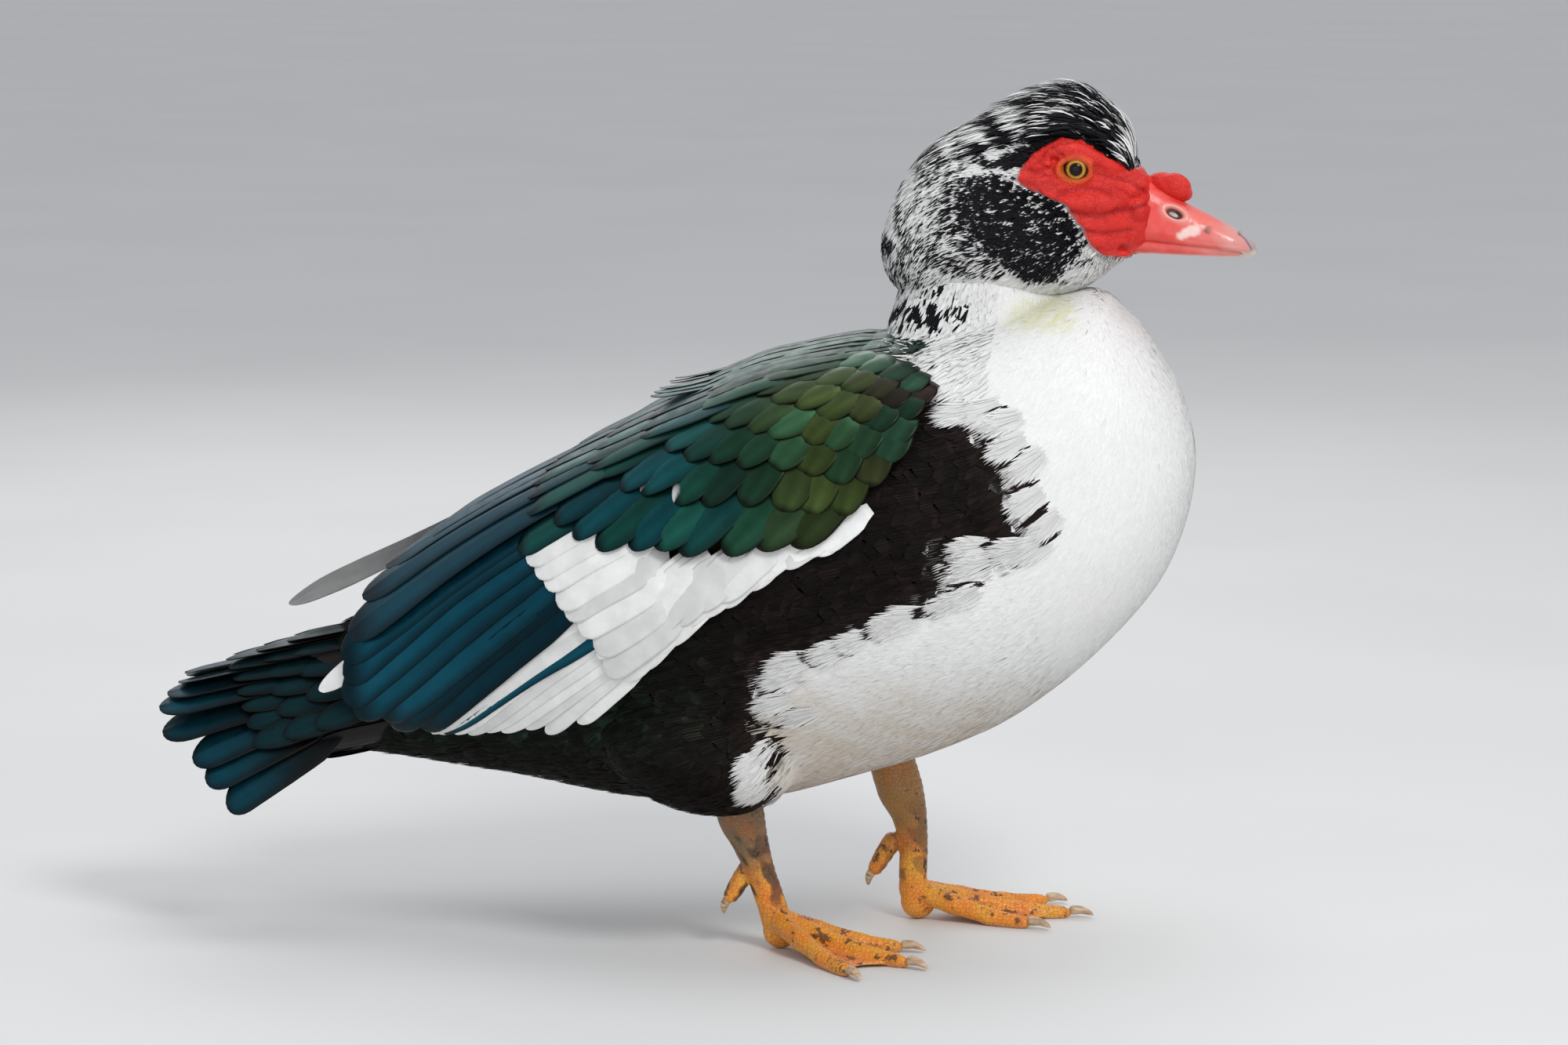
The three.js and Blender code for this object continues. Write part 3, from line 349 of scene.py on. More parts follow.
class Finish:
    """A node material with one shader and short ways to wire it."""

    def __init__(self, name, **constants):
        self.material = bpy.data.materials.new(name)
        self.material.use_nodes = True
        self.nodes, self.links = self.material.node_tree.nodes, self.material.node_tree.links
        self.shader = self.nodes["Principled BSDF"]
        for socket, value in constants.items():
            self.shader.inputs[socket.replace("_", " ")].default_value = value

    def node(self, kind, settings=None, **inputs):
        node = self.nodes.new("ShaderNode" + kind)
        for key, value in (settings or {}).items():
            setattr(node, key, value)
        for key, value in inputs.items():
            socket = node.inputs[int(key[1:])] if key[0] == "_" else node.inputs[key]
            self.put(socket, value)
        return node

    def put(self, socket, value):
        if isinstance(value, bpy.types.NodeSocket):
            self.links.new(value, socket)
        else:
            socket.default_value = value

    def value(self, name):
        return self.node("Attribute", {"attribute_name": name}).outputs["Fac"]

    def colour(self, name):
        return self.node("Attribute", {"attribute_name": name}).outputs["Color"]

    def place(self, stretch=None):
        where = self.node("TexCoord").outputs["Object"]
        if stretch:
            where = self.node("Mapping", Vector=where, Scale=stretch).outputs["Vector"]
        return where

    def noise(self, scale, detail=3.0, stretch=None, rough=0.5):
        return self.node("TexNoise", Vector=self.place(stretch), Scale=scale, Detail=detail,
                         Roughness=rough).outputs["Fac"]

    def cells(self, scale, feature="F1", jitter=1.0, stretch=None):
        return self.node("TexVoronoi", {"feature": feature}, Vector=self.place(stretch), Scale=scale,
                         Randomness=jitter).outputs["Distance"]

    def maths(self, operation, a, b=0.0):
        return self.node("Math", {"operation": operation}, _0=a, _1=b).outputs[0]

    def times(self, a, b):
        return self.maths("MULTIPLY", a, b)

    def plus(self, a, b):
        return self.maths("ADD", a, b)

    def span(self, value, low, high, to_low=0.0, to_high=1.0):
        return self.node("MapRange", {"interpolation_type": "SMOOTHSTEP"}, _0=value, _1=low, _2=high,
                         _3=to_low, _4=to_high).outputs[0]

    def tint(self, factor, a, b, blend="MIX"):
        node = self.node("Mix", {"data_type": "RGBA", "blend_type": blend})
        self.put(node.inputs[0], factor)
        self.put(node.inputs[6], a)
        self.put(node.inputs[7], b)
        return node.outputs[2]

    def shaded(self, colour, grey):
        """A colour made darker or lighter by a grey value."""
        tone = self.node("CombineColor", Red=grey, Green=grey, Blue=grey).outputs[0]
        return self.tint(1.0, colour, tone, "MULTIPLY")

    def bump(self, height, strength, distance, under=None):
        node = self.node("Bump", Height=height, Strength=strength, Distance=distance * MM)
        if under is not None:
            self.put(node.inputs["Normal"], under)
        return node.outputs["Normal"]

    def wire(self, **sockets):
        for socket, value in sockets.items():
            self.put(self.shader.inputs[socket.replace("_", " ")], value)
        return self.material


BARB_PITCH = 0.9
# Repeat of a wave texture whose scale is 1
WAVE_LENGTH = 0.314


def plumage_finish(name, roughness, gloss):
    """Vane feathers: barbs slanting off the shaft, and a satin shimmer where they are dark."""
    f = Finish(name, Specular_IOR_Level=0.3 * gloss)
    barbs = f.node("TexWave", {"wave_type": "BANDS", "bands_direction": "X", "wave_profile": "SIN"},
                   Vector=f.node("CombineXYZ", X=f.value("Barb")).outputs[0],
                   Scale=WAVE_LENGTH / BARB_PITCH, Distortion=0.0).outputs["Fac"]
    base = f.shaded(f.colour("Marking"), f.span(f.noise(90, 3.0), 0.3, 0.7, 0.93, 1.06))
    base = f.shaded(base, f.span(barbs, 0.0, 1.0, 0.93, 1.03))
    height = f.plus(f.times(barbs, 0.45), f.times(f.noise(260, 2.0), 0.5))
    height = f.plus(height, f.times(f.value("Shaft"), 1.4))
    rough = f.plus(f.span(f.noise(140, 2.0), 0.25, 0.75, -0.06, 0.08), roughness)
    return f.wire(Base_Color=base, Metallic=f.times(f.value("Gloss"), gloss), Roughness=rough,
                  Normal=f.bump(height, 0.2, 0.2))


def strand_finish(name, roughness, sheen=0.0):
    """Hair-like feathers in slightly uneven tones."""
    f = Finish(name, Sheen_Weight=sheen, Sheen_Roughness=0.6, Specular_IOR_Level=0.08)
    base = f.shaded(f.colour("Marking"), f.span(f.noise(900, 2.0), 0.3, 0.7, 0.97, 1.02))
    return f.wire(Base_Color=base, Roughness=roughness, Normal=f.bump(f.noise(1600, 2.0), 0.15, 0.1))


def skin_finish():
    """Bare red skin in fine bumps, with painted shade in the pits between them and along fine creases and
    painted highlights on their tops, and dull skin of the coat's colours under the feathers.
    """
    f = Finish("Bare face skin", Subsurface_Weight=0.12, Subsurface_Scale=0.004,
               Subsurface_Radius=(1.0, 0.25, 0.12), Specular_IOR_Level=0.3)
    bare = f.value("Bare")
    warm = f.span(f.noise(160, 4.0), 0.35, 0.68)
    red = f.tint(warm, f.colour("Marking"), f.tint(0.3, f.colour("Marking"), (0.50, 0.006, 0.006, 1)))
    bumps = f.cells(1150, jitter=0.9)
    fine = f.cells(2300, jitter=1.0)
    # Painted shade: the red is darkened in the pits between the bumps.
    pit_shade = f.span(bumps, 0.25, 0.75)
    red = f.tint(f.times(pit_shade, 0.3), red, (0.45, 0.012, 0.01, 1))
    # Painted highlight: the tops of the bumps are lightened towards a bright red.
    red = f.tint(f.times(f.span(bumps, 0.3, 0.05), 0.22), red, (0.9, 0.10, 0.07, 1))
    creases = f.cells(170, "DISTANCE_TO_EDGE", 1.0, (1, 1, 1.5))
    # Painted shade: the red is darkened along the fine creases that the bump sinks.
    seam = f.times(f.span(creases, 0.035, 0.0), f.span(f.noise(70, 2.0), 0.45, 0.7, 0.0, 0.35))
    red = f.tint(seam, red, (0.30, 0.006, 0.006, 1))
    base = f.tint(bare, f.colour("Marking"), red)
    height = f.plus(f.times(f.span(bumps, 0.75, 0.05), 0.8),
                     f.times(f.span(fine, 0.7, 0.05), 0.35))
    height = f.plus(height, f.times(f.span(creases, 0.0, 0.06), 0.8))
    normal = f.bump(f.times(height, bare), 0.7, 0.36)
    rough = f.span(bare, 0.0, 1.0, 0.85, 0.36)
    return f.wire(Base_Color=base, Roughness=rough, Normal=normal)


def bill_finish():
    """Smooth horn, red at its root, with pale and dark stains and faint growth lines."""
    f = Finish("Bill horn", Coat_Weight=0.4, Coat_Roughness=0.2, Subsurface_Weight=0.06,
               Subsurface_Scale=0.003, Subsurface_Radius=(1.0, 0.3, 0.2))
    tone = f.span(f.noise(150, 5.0), 0.3, 0.72)
    base = f.tint(f.times(tone, 0.16), f.colour("Marking"), (0.85, 0.30, 0.24, 1))
    fleck = f.span(f.cells(240, jitter=1.0), 0.13, 0.06)
    fleck = f.times(fleck, f.span(f.noise(60), 0.52, 0.62))
    base = f.tint(f.times(fleck, 0.6), base, (0.12, 0.015, 0.012, 1))
    height = f.plus(f.noise(700, 3.0, (1, 0.35, 1)), f.times(f.noise(180, 2.0), 0.8))
    rough = f.span(f.noise(300, 3.0), 0.3, 0.7, 0.3, 0.44)
    return f.wire(Base_Color=base, Roughness=rough, Normal=f.bump(height, 0.25, 0.2))


def leg_finish():
    """Small plates with dark seams, bigger down the front, and dark blotches on orange."""
    f = Finish("Leg scales", Coat_Weight=0.08, Coat_Roughness=0.4)
    plates = f.cells(430, "DISTANCE_TO_EDGE", 0.75)
    tone = f.cells(430, jitter=0.75)
    seam = f.span(plates, 0.02, 0.13)
    base = f.tint(f.times(f.span(tone, 0.1, 0.7), 0.3), f.colour("Marking"),
                  f.tint(0.3, f.colour("Marking"), (0.9, 0.42, 0.08, 1)))
    base = f.tint(f.times(f.span(f.noise(75, 4.0), 0.42, 0.7), 0.4), base, (0.55, 0.13, 0.015, 1))
    stain = f.span(f.noise(150, 4.0, None, 0.65), 0.57, 0.61)
    stain = f.times(stain, f.value("Stain"))
    base = f.tint(stain, base, (0.022, 0.014, 0.011, 1))
    base = f.tint(f.times(f.span(plates, 0.1, 0.0), 0.42), base, (0.12, 0.05, 0.02, 1))
    height = f.plus(seam, f.times(f.noise(900, 2.0), 0.25))
    return f.wire(Base_Color=base, Roughness=f.span(seam, 0, 1, 0.62, 0.42), Normal=f.bump(height, 0.6, 0.3))


def claw_finish():
    """Pale horn, streaked along its length."""
    f = Finish("Claw horn", Coat_Weight=0.2, Coat_Roughness=0.3)
    streak = f.noise(420, 4.0, (1, 0.2, 1))
    base = f.tint(f.span(streak, 0.35, 0.68), (0.62, 0.44, 0.28, 1), (0.36, 0.22, 0.12, 1))
    return f.wire(Base_Color=base, Roughness=0.35, Normal=f.bump(streak, 0.3, 0.15))


def eye_finish():
    """Dark pupil in a golden-brown iris with fine spokes, under a wet clear coat."""
    f = Finish("Eye", Coat_Weight=0.5, Coat_Roughness=0.02, Coat_IOR=1.36, Roughness=0.3,
               Specular_IOR_Level=0.05)
    ring = f.node("ValToRGB", Fac=f.value("Ring"))
    stops = [(0.0, (0.001, 0.001, 0.001)), (0.325, (0.002, 0.001, 0.001)), (0.345, (0.26, 0.11, 0.015)),
             (0.40, (0.58, 0.33, 0.05)), (0.47, (0.52, 0.25, 0.03)), (0.52, (0.20, 0.07, 0.01)),
             (0.55, (0.03, 0.01, 0.006)), (1.0, (0.03, 0.01, 0.008))]
    ramp_stops = ring.color_ramp.elements
    while len(ramp_stops) < len(stops):
        ramp_stops.new(0.5)
    for stop, (position, colour) in zip(ramp_stops, stops):
        stop.position, stop.color = position, (*colour, 1)
    spokes = f.times(f.span(f.noise(1500, 3.0), 0.35, 0.7), 0.45)
    return f.wire(Base_Color=f.tint(spokes, ring.outputs["Color"], (0.03, 0.012, 0.003, 1)))


# Markings: outlines on the side of the bird as (forward, up)
FACE_OUTLINE = [
    (127, 414.5), (131, 422), (136, 428), (149, 436), (162, 434.5), (175, 425.5), (185, 420),
    (191, 418.5), (260, 417), (260, 368), (196, 371), (188, 372.5), (180, 372), (171, 373.5),
    (166, 379), (162, 389), (153, 401), (141, 406), (129, 412),
]
CHEEK_PATCH = [
    (100, 412), (118, 416), (127, 413), (141, 405), (153, 400), (162, 388), (162, 377), (150, 362),
    (136, 362), (124, 371), (112, 381), (100, 392),
]
WHITE_FRONT = [
    (79, 312), (99, 310), (117, 311), (122, 296), (136, 277), (140, 261), (150, 231), (130, 227),
    (108, 229), (110, 204), (88, 195), (55, 180), (34, 169), (13, 160), (7, 133), (19, 119),
    (6, 110), (12, 60), (300, 60), (300, 470), (40, 470), (40, 318),
]
# Colours of the drake, which the sidebar can change
TONES = {
    "white": (0.80, 0.80, 0.785), "black": (0.008, 0.008, 0.010), "flank": (0.0115, 0.0070, 0.0060),
    "bronze": (0.040, 0.062, 0.016), "green": (0.010, 0.066, 0.036), "teal": (0.005, 0.066, 0.080),
    "blue": (0.005, 0.068, 0.104), "face": (0.72, 0.026, 0.017), "bill_root": (0.72, 0.032, 0.024),
    "bill": (0.72, 0.125, 0.105), "bill_stain": (0.84, 0.70, 0.64), "foot": (0.86, 0.23, 0.014),
    "foot_light": (0.88, 0.42, 0.035), "web": (0.84, 0.24, 0.085), "stain": (0.66, 0.64, 0.20),
}
SIZES = {"tuft_length": 1.0, "crest_height": 1.0}
# Colours of small marks, and of the painted shade in the face's creases and inside the nostril, which stay as
# they are
MARKS = {
    "belly_tan": (0.55, 0.44, 0.30), "lid_orange": (0.78, 0.12, 0.015), "lid_brown": (0.40, 0.10, 0.01),
    "crease_red": (0.34, 0.008, 0.008), "nostril_rim": (0.74, 0.46, 0.40), "nostril": (0.022, 0.010, 0.008),
    "bill_edge": (0.70, 0.045, 0.035), "bill_spot": (0.16, 0.06, 0.05), "bill_tip": (0.58, 0.37, 0.33),
    "nail": (0.30, 0.29, 0.32), "nail_edge": (0.025, 0.035, 0.06), "nail_end": (0.60, 0.52, 0.44),
    "lower_root": (0.66, 0.04, 0.03), "lower_tip": (0.70, 0.22, 0.18), "shank_right": (0.17, 0.115, 0.06),
    "shank_left": (0.26, 0.15, 0.05), "scuff": (0.018, 0.014, 0.013), "sole": (0.55, 0.36, 0.22),
    "vane_rim": (0.012, 0.008, 0.006), "tail_dark": (0.008, 0.012, 0.013),
}


def tone_of(name):
    return np.array(TONES[name] if name in TONES else MARKS[name])


def painted(tone, name, share):
    """A tone with a named colour laid over it, as far as each point's share says."""
    return mix(tone, tone_of(name), share[..., None])


def from_stretch(x, y, start, end):
    """Distance of places from a straight stretch of an outline."""
    (ax, ay), (bx, by) = start, end
    dx, dy = bx - ax, by - ay
    t = np.clip(((x - ax) * dx + (y - ay) * dy) / (dx * dx + dy * dy), 0, 1)
    return np.hypot(x - ax - t * dx, y - ay - t * dy)


def near_line(forward, up, line):
    return np.min([from_stretch(forward, up, a, b) for a, b in zip(line[:-1], line[1:])], axis=0)


def reach_out(forward, up, outline):
    """Distance out of an outline, below zero inside it."""
    a = np.array(outline, float)
    inside = np.zeros(np.shape(forward), bool)
    for (ax, ay), (bx, by) in zip(a, np.roll(a, -1, 0)):
        if ay != by:
            inside ^= ((ay > up) != (by > up)) & (forward < (bx - ax) * (up - ay) / (by - ay) + ax)
    away = near_line(forward, up, np.concatenate([a, a[:1]]))
    return np.where(inside, -away, away)


def forward_up(points):
    return MIDDLE_FORWARD - points[..., 1], points[..., 2]


def ripple(points, pitch, seed=0.0):
    """Smooth uneven waves between -1 and 1 over the surface."""
    x, y, z = (points[..., k] / pitch for k in range(3))
    return (np.sin(1.7 * x + 2.3 * y + seed) * np.cos(2.1 * z - 1.3 * x + 2 * seed)
            + np.sin(3.1 * y - 2.7 * z + 3 * seed) * np.cos(1.9 * y + 2.9 * x - seed)) / 2


def bare_share(points):
    forward, up = forward_up(points)
    return ramp(0.8, -0.8, reach_out(forward, up, FACE_OUTLINE) + 0.7 * ripple(points, 3.0))


def dark_share(points):
    """How much of the head and neck is black where a feather stands, from 0 to 1."""
    forward, up = forward_up(points)
    face = reach_out(forward, up, FACE_OUTLINE)
    streaks = ripple(points, 7.0, 1.0)
    dark = 0.22 + 0.14 * streaks
    rear = ramp(118, 92, forward)
    dark = mix(dark, 0.27 + 0.24 * streaks, rear * ramp(420, 400, up))
    crown = ramp(428, 440, up) * ramp(104, 140, forward)
    dark = mix(dark, 0.62 + 0.14 * streaks, crown)
    rim = ramp(12, 5, face) * ramp(417, 425, up)
    dark = mix(dark, 0.97, rim)
    cheek = ramp(4, -3, reach_out(forward, up, CHEEK_PATCH) + 2 * ripple(points, 5.0, 2.0))
    dark = mix(dark, 0.79 + 0.08 * streaks, cheek)
    ruff = ramp(372, 362, up) * ramp(84, 100, forward) * (1 - cheek)
    dark = mix(dark, 0.02, ruff)
    chin = ramp(166, 172, forward) * ramp(378, 373, up)
    dark = mix(dark, 0.0, chin)
    band = ramp(9, 3, np.abs(up - 344 - 0.1 * (forward - 80))) * ramp(112, 96, forward)
    dark = mix(dark, 0.72 + 0.2 * streaks, band)
    neck = ramp(342, 334, up)
    dark = mix(dark, (0.22 + 0.3 * streaks) * ramp(98, 78, forward), neck)
    return np.clip(dark, 0, 1)


def white_share(points):
    """How far a place on the body is inside the white front, as a distance over its edge."""
    forward, up = forward_up(points)
    return -reach_out(forward, up, WHITE_FRONT)


def body_colour(points, rng):
    """Colour and shimmer of the small feathers of the body, one for each root."""
    count = len(points)
    t, n, _ = to_body(points)
    forward, up = forward_up(points)
    white = ramp(-3, 3, white_share(points) + rng.normal(0, 1.6, count))[:, None]
    tone = rng.normal(0, 0.12, (count, 1)) + 0.18 * ripple(points, 22, 3.0)[:, None]
    sheen = ramp(210, 330, t)[:, None] * ramp(-110, -40, n)[:, None]
    back = ramp(70, 95, n)[:, None]
    dark = mix(tone_of("flank"), tone_of("green") * 0.6, 0.45 * sheen)
    dark = mix(dark, tone_of("teal") * 0.6, 0.8 * back)
    dark = dark * (1 + 1.4 * np.clip(tone, -0.5, 0.9))
    pale = tone_of("white") * (1 + 0.1 * np.clip(tone, -0.3, 0.2))
    # Painted shade: the white turns greyer and bluer lower down the breast and belly.
    grey = ramp(205, 110, up)[:, None] * 0.12
    pale = pale * (1 - grey * np.array([1.2, 1.0, 0.75]))
    tan = ramp(178, 122, up) * (0.5 + 0.3 * ripple(points, 16.0, 7.0))
    pale = painted(pale, "belly_tan", np.clip(0.9 * tan, 0, 1))
    stain = (ramp(12, 2, np.abs(up - 347)) * ramp(120, 132, forward) * ramp(168, 156, forward)
             * (0.5 + 0.5 * ripple(points, 4.0, 5.0)))
    pale = painted(pale, "stain", 0.75 * stain)
    gloss = np.where(white[:, 0] > 0.5, 0.0, 0.35 + 0.5 * sheen[:, 0] + 0.4 * back[:, 0])
    return mix(dark, pale, white), np.clip(gloss, 0, 1)


# Skin

THIGHS = {"right": at(-38, -54, 114), "left": at(34, 58, 124)}
# Folds of the face from back to front: forward, side, up and radius
FACE_FOLDS = [
    [(140, 30, 424, 1.6), (147, 30.5, 428.5, 2.6), (157, 28.5, 430, 3.0), (168, 24, 424.5, 3.4),
     (182, 16, 417, 2.6)],
    [(136, 32.5, 415, 1.4), (141, 33.5, 408, 2.2), (154, 31.8, 402, 3.6), (170, 26, 401.5, 4.2),
     (186, 18, 403, 3.2)],
    [(148, 33, 396, 1.6), (160, 29.5, 390, 3.0), (170, 24.5, 390, 3.4), (181, 19, 392, 2.6)],
    [(160, 29, 386, 1.6), (167, 25.5, 382.5, 3.0), (175, 21.5, 381.5, 3.0), (186, 16.5, 382, 1.8)],
    [(166, 22, 412, 1.4), (176, 21, 411, 2.6), (186, 17.5, 410, 3.2), (194, 13, 410, 2.6)],
    [(134, 31.5, 419, 1.2), (139, 32.2, 421, 1.8), (146, 32.5, 423, 1.4)],
    [(143, 34.5, 401, 1.4), (150, 33.2, 397.5, 2.2), (158, 31, 396.5, 1.6)],
]
# Creases sunk between the folds and painted darker as shade: forward and up, with depth and width
FACE_CREASES = [
    ([(128, 413), (137, 411), (145, 413)], 0.8, 1.1), ([(131, 420), (138, 417), (145, 416)], 0.7, 1.0),
    ([(135, 426), (141, 421.5), (146, 419)], 0.6, 0.9), ([(137, 407), (143, 409), (148, 411.5)], 0.7, 1.0),
    ([(146, 401), (150, 407), (156, 408.5), (166, 409.5), (176, 407)], 0.9, 1.2),
    ([(153, 398), (162, 395.5), (172, 395), (183, 397.5), (196, 401)], 1.3, 1.3),
    ([(160, 388), (168, 386), (176, 385.5), (186, 387)], 1.0, 1.1),
    ([(166, 377.5), (174, 376.8), (184, 377.5)], 0.9, 1.0),
    ([(168, 418), (176, 415.5), (186, 412.6), (194, 406.5)], 0.9, 1.1),
    ([(144, 432), (152, 425.8), (160, 425.6), (168, 419.5)], 0.6, 1.0),
    ([(142, 403), (146, 398), (152, 396)], 0.6, 0.9), ([(151, 404), (153, 398), (158, 392)], 0.5, 0.9),
    ([(176, 405), (180, 401), (178, 396)], 0.4, 0.8), ([(166, 404), (169, 400), (167, 396)], 0.4, 0.8),
]
SKIN_DEPTH = {"head": 2.0, "neck": 3.0, "body": 3.2}
LID_RADIUS = 1.9
LID_STEPS, RIM_STEPS = 40, 12


def place_head(forward, up, side):
    return at(forward, side, up)


def lid_ring(hand):
    """An almond-shaped rim of the eye, its corners drawn out a little."""
    turns = 2 * np.pi * np.arange(LID_STEPS) / LID_STEPS
    forward = EYE["forward"] + 8.6 * np.sign(np.cos(turns)) * np.abs(np.cos(turns)) ** 0.92
    up = EYE["up"] + 5.9 * np.sin(turns) - 0.6 * np.cos(turns)
    side = hand * (EYE["side"] + 5.5 - 1.3 * np.cos(turns) - 0.5 * np.sin(turns) ** 2)
    centre = at(forward, side, up)
    out = unit(centre - centre.mean(0))
    side_way = np.array([1.0, 0, 0])
    j = 2 * np.pi * np.arange(RIM_STEPS) / RIM_STEPS
    ring = (centre[:, None] + LID_RADIUS * (np.cos(j)[None, :, None] * out[:, None]
                                            + np.sin(j)[None, :, None] * side_way))
    i, k = np.meshgrid(np.arange(LID_STEPS), np.arange(RIM_STEPS), indexing="ij")
    i_next, k_next = (i + 1) % LID_STEPS, (k + 1) % RIM_STEPS
    quads = np.stack([i * RIM_STEPS + k, i_next * RIM_STEPS + k, i_next * RIM_STEPS + k_next,
                      i * RIM_STEPS + k_next], -1).reshape(-1, 4)
    return ring.reshape(-1, 3), [quads]


def head_forms():
    forms = [loft(HEAD, place_head, 60, 72, 2.1)]
    forms.append(bulb(at(205.5, 0, 408.3), (7.4, 12.4, 6.6), 0.42))
    forms.append(bulb(at(208.5, 3.6, 409), (4.6, 8.2, 6.2), 0.5))
    forms.append(bulb(at(208.5, -3.6, 409), (4.6, 8.2, 6.2), 0.5))
    for hand in HANDS.values():
        for rows in FACE_FOLDS:
            f, s, u, r = np.array(rows, float).T
            forms.append(bar(at(f, hand * (s + 0.5), u), 1.12 * r, 14, 20))
        forms.append(bulb(at(189, hand * 11.6, 397.5), (10.5, 7.0, 7.6), 0.15))
        forms.append(bulb(at(186, hand * 12.0, 407.5), (11.5, 6.0, 4.6), -0.2))
        forms.append(bulb(at(171, hand * 21.2, 377), (4.4, 10, 3.6), 0.1))
        forms.append(bulb(at(180, hand * 17.6, 374.8), (3.4, 6.5, 2.6), 0.05))
        forms.append(lid_ring(hand))
    return merged(forms)


def body_forms():
    neck = loft(NECK, lambda up, forward, side: at(forward, side, up), 36, 64)
    return merged([loft(TORSO, along_body, 80, 90), neck]
                  + [bulb(centre, (40, 54, 36), AXIS_TILT) for centre in THIGHS.values()])


class Ground:
    """A smooth surface that feathers are laid on."""

    def __init__(self, points, faces, normals):
        self.points, self.faces, self.normals = points, faces, normals
        polygons = [tuple(int(i) for i in face) for group in faces for face in group]
        self.tree = BVHTree.FromPolygons([Vector(p) for p in points], polygons)
        self.face_normals = unit(np.concatenate([normals[g].mean(1) for g in faces]))

    def nearest(self, places):
        found = [self.tree.find_nearest(Vector(p)) for p in places]
        spots = np.array([hit[0] for hit in found], float)
        return spots, self.face_normals[[hit[2] for hit in found]]

    def scatter(self, count, rng):
        """Even random places over the surface."""
        corners, owner, start = [], [], 0
        for group in self.faces:
            for k in range(1, group.shape[1] - 1):
                corners.append(group[:, [0, k, k + 1]])
                owner.append(np.arange(len(group)) + start)
            start += len(group)
        tris, owner = np.concatenate(corners), np.concatenate(owner)
        a, b, c = (self.points[tris[:, k]] for k in range(3))
        area = np.linalg.norm(np.cross(b - a, c - a), axis=1)
        pick = rng.choice(len(tris), count, p=area / area.sum())
        u, v = rng.random(count), rng.random(count)
        fold = u + v > 1
        u, v = np.where(fold, 1 - u, u)[:, None], np.where(fold, 1 - v, v)[:, None]
        return a[pick] + u * (b - a)[pick] + v * (c - a)[pick], self.face_normals[owner[pick]]


GROUNDS = {}


def ground(name):
    if name not in GROUNDS:
        forms, rounds = {"head": (head_forms, 2), "body": (body_forms, 6)}[name]
        GROUNDS[name] = Ground(*remeshed(name, forms(), VOXEL[name], rounds))
    return GROUNDS[name]


def skin_colours(points, is_head):
    """The coat's markings on the skin under it, and the reds of the bare face, with painted shade along its
    creases.
    """
    coat = painted(tone_of("white") * 0.9, "black", np.clip(dark_share(points) * 1.1, 0, 1))
    forward, up = forward_up(points)
    if not is_head:
        neck = (ramp(305, 318, up) * ramp(40, 60, forward) * ramp(122, 112, forward))[:, None]
        return mix(body_colour(points, np.random.default_rng(11))[0], coat, neck)
    eye = np.hypot(forward - EYE["forward"], 1.3 * (up - EYE["up"]))
    red = tone_of("face") * (1 + 0.12 * ripple(points, 9.0, 4.0))[:, None]
    red = painted(red, "lid_orange", 0.8 * ramp(11.5, 8.8, eye))
    red = painted(red, "lid_brown", 0.8 * ramp(8.2, 7.2, eye))
    # Painted shade: the red is darkened along the sunk creases of the face.
    for line, depth, width in FACE_CREASES:
        crease = 0.75 * depth * np.exp(-(near_line(forward, up, line) / width) ** 2)
        red = painted(red, "crease_red", crease.clip(0, 1))
    return mix(coat, red, bare_share(points)[:, None])


def make_skin():
    head, body = ground("head"), ground("body")
    bare = bare_share(head.points)
    forward, up = forward_up(head.points)
    sunk = SKIN_DEPTH["head"] * (1 - bare)
    eye = np.hypot(forward - EYE["forward"], 1.35 * (up - EYE["up"]))
    side = np.abs(head.points[:, 0])
    for line, depth, width in FACE_CREASES:
        wander = 0.35 * ripple(head.points, 4.0, depth * 7)
        near = (near_line(forward, up, line) + wander) / width
        sunk += depth * 0.95 * np.exp(-near ** 2) * bare * ramp(6.6, 9, eye)
    rough = ripple(head.points, 2.1, 2.0) + 0.6 * ripple(head.points, 1.1, 5.0)
    sunk += 0.14 * rough * bare * ramp(7, 11, eye) * ramp(4, 9, side)
    head_points = head.points - head.normals * sunk[:, None]
    neck = ramp(300, 325, body.points[:, 2])
    body_points = body.points - body.normals * mix(SKIN_DEPTH["body"], SKIN_DEPTH["neck"], neck)[:, None]
    colours = np.concatenate([skin_colours(head.points, True), skin_colours(body.points, False)])
    bare = np.concatenate([bare, np.zeros(len(body.points))])
    skin = new_piece("skin", merged([(head_points, head.faces), (body_points, body.faces)]), skin_finish(),
                     colours={"Marking": colours}, numbers={"Bare": bare})
    finished(skin, ["torso", "neck", "head", "thigh_right", "thigh_left"])


# Eyes

def make_eyes():
    finish = eye_finish()
    for name, hand in HANDS.items():
        axis = unit(np.array([hand * 1.0, -0.10, 0.04]))
        right = unit(np.cross(axis, [0, 0, 1.0]))
        top = np.cross(right, axis)
        polar = np.pi * (np.arange(1, 48) / 48) ** 1.3
        around = 2 * np.pi * np.arange(64) / 64
        bulge = 0.35 * ramp(0.75, 0.2, polar)
        radius = (EYE["radius"] - 0.15 + bulge)[:, None, None]
        direction = (np.cos(polar)[:, None, None] * axis
                     + np.sin(polar)[:, None, None] * (np.cos(around)[None, :, None] * right
                                                       + np.sin(around)[None, :, None] * top))
        centre = at(EYE["forward"], hand * EYE["side"], EYE["up"])
        form = closed_rings(centre + radius * direction, centre + axis * (EYE["radius"] + 0.2),
                            centre - axis * EYE["radius"])
        offset = form[0] - centre
        ahead = offset @ axis
        away = np.linalg.norm(offset - ahead[:, None] * axis, axis=1) / 10
        away = np.where(ahead > 0, away, 1.0)
        eye = new_piece("eye_ball_" + name, form, finish, numbers={"Ring": away})
        flip_outward(eye.data)
        finished(eye, ["eye_" + name])


# Bill

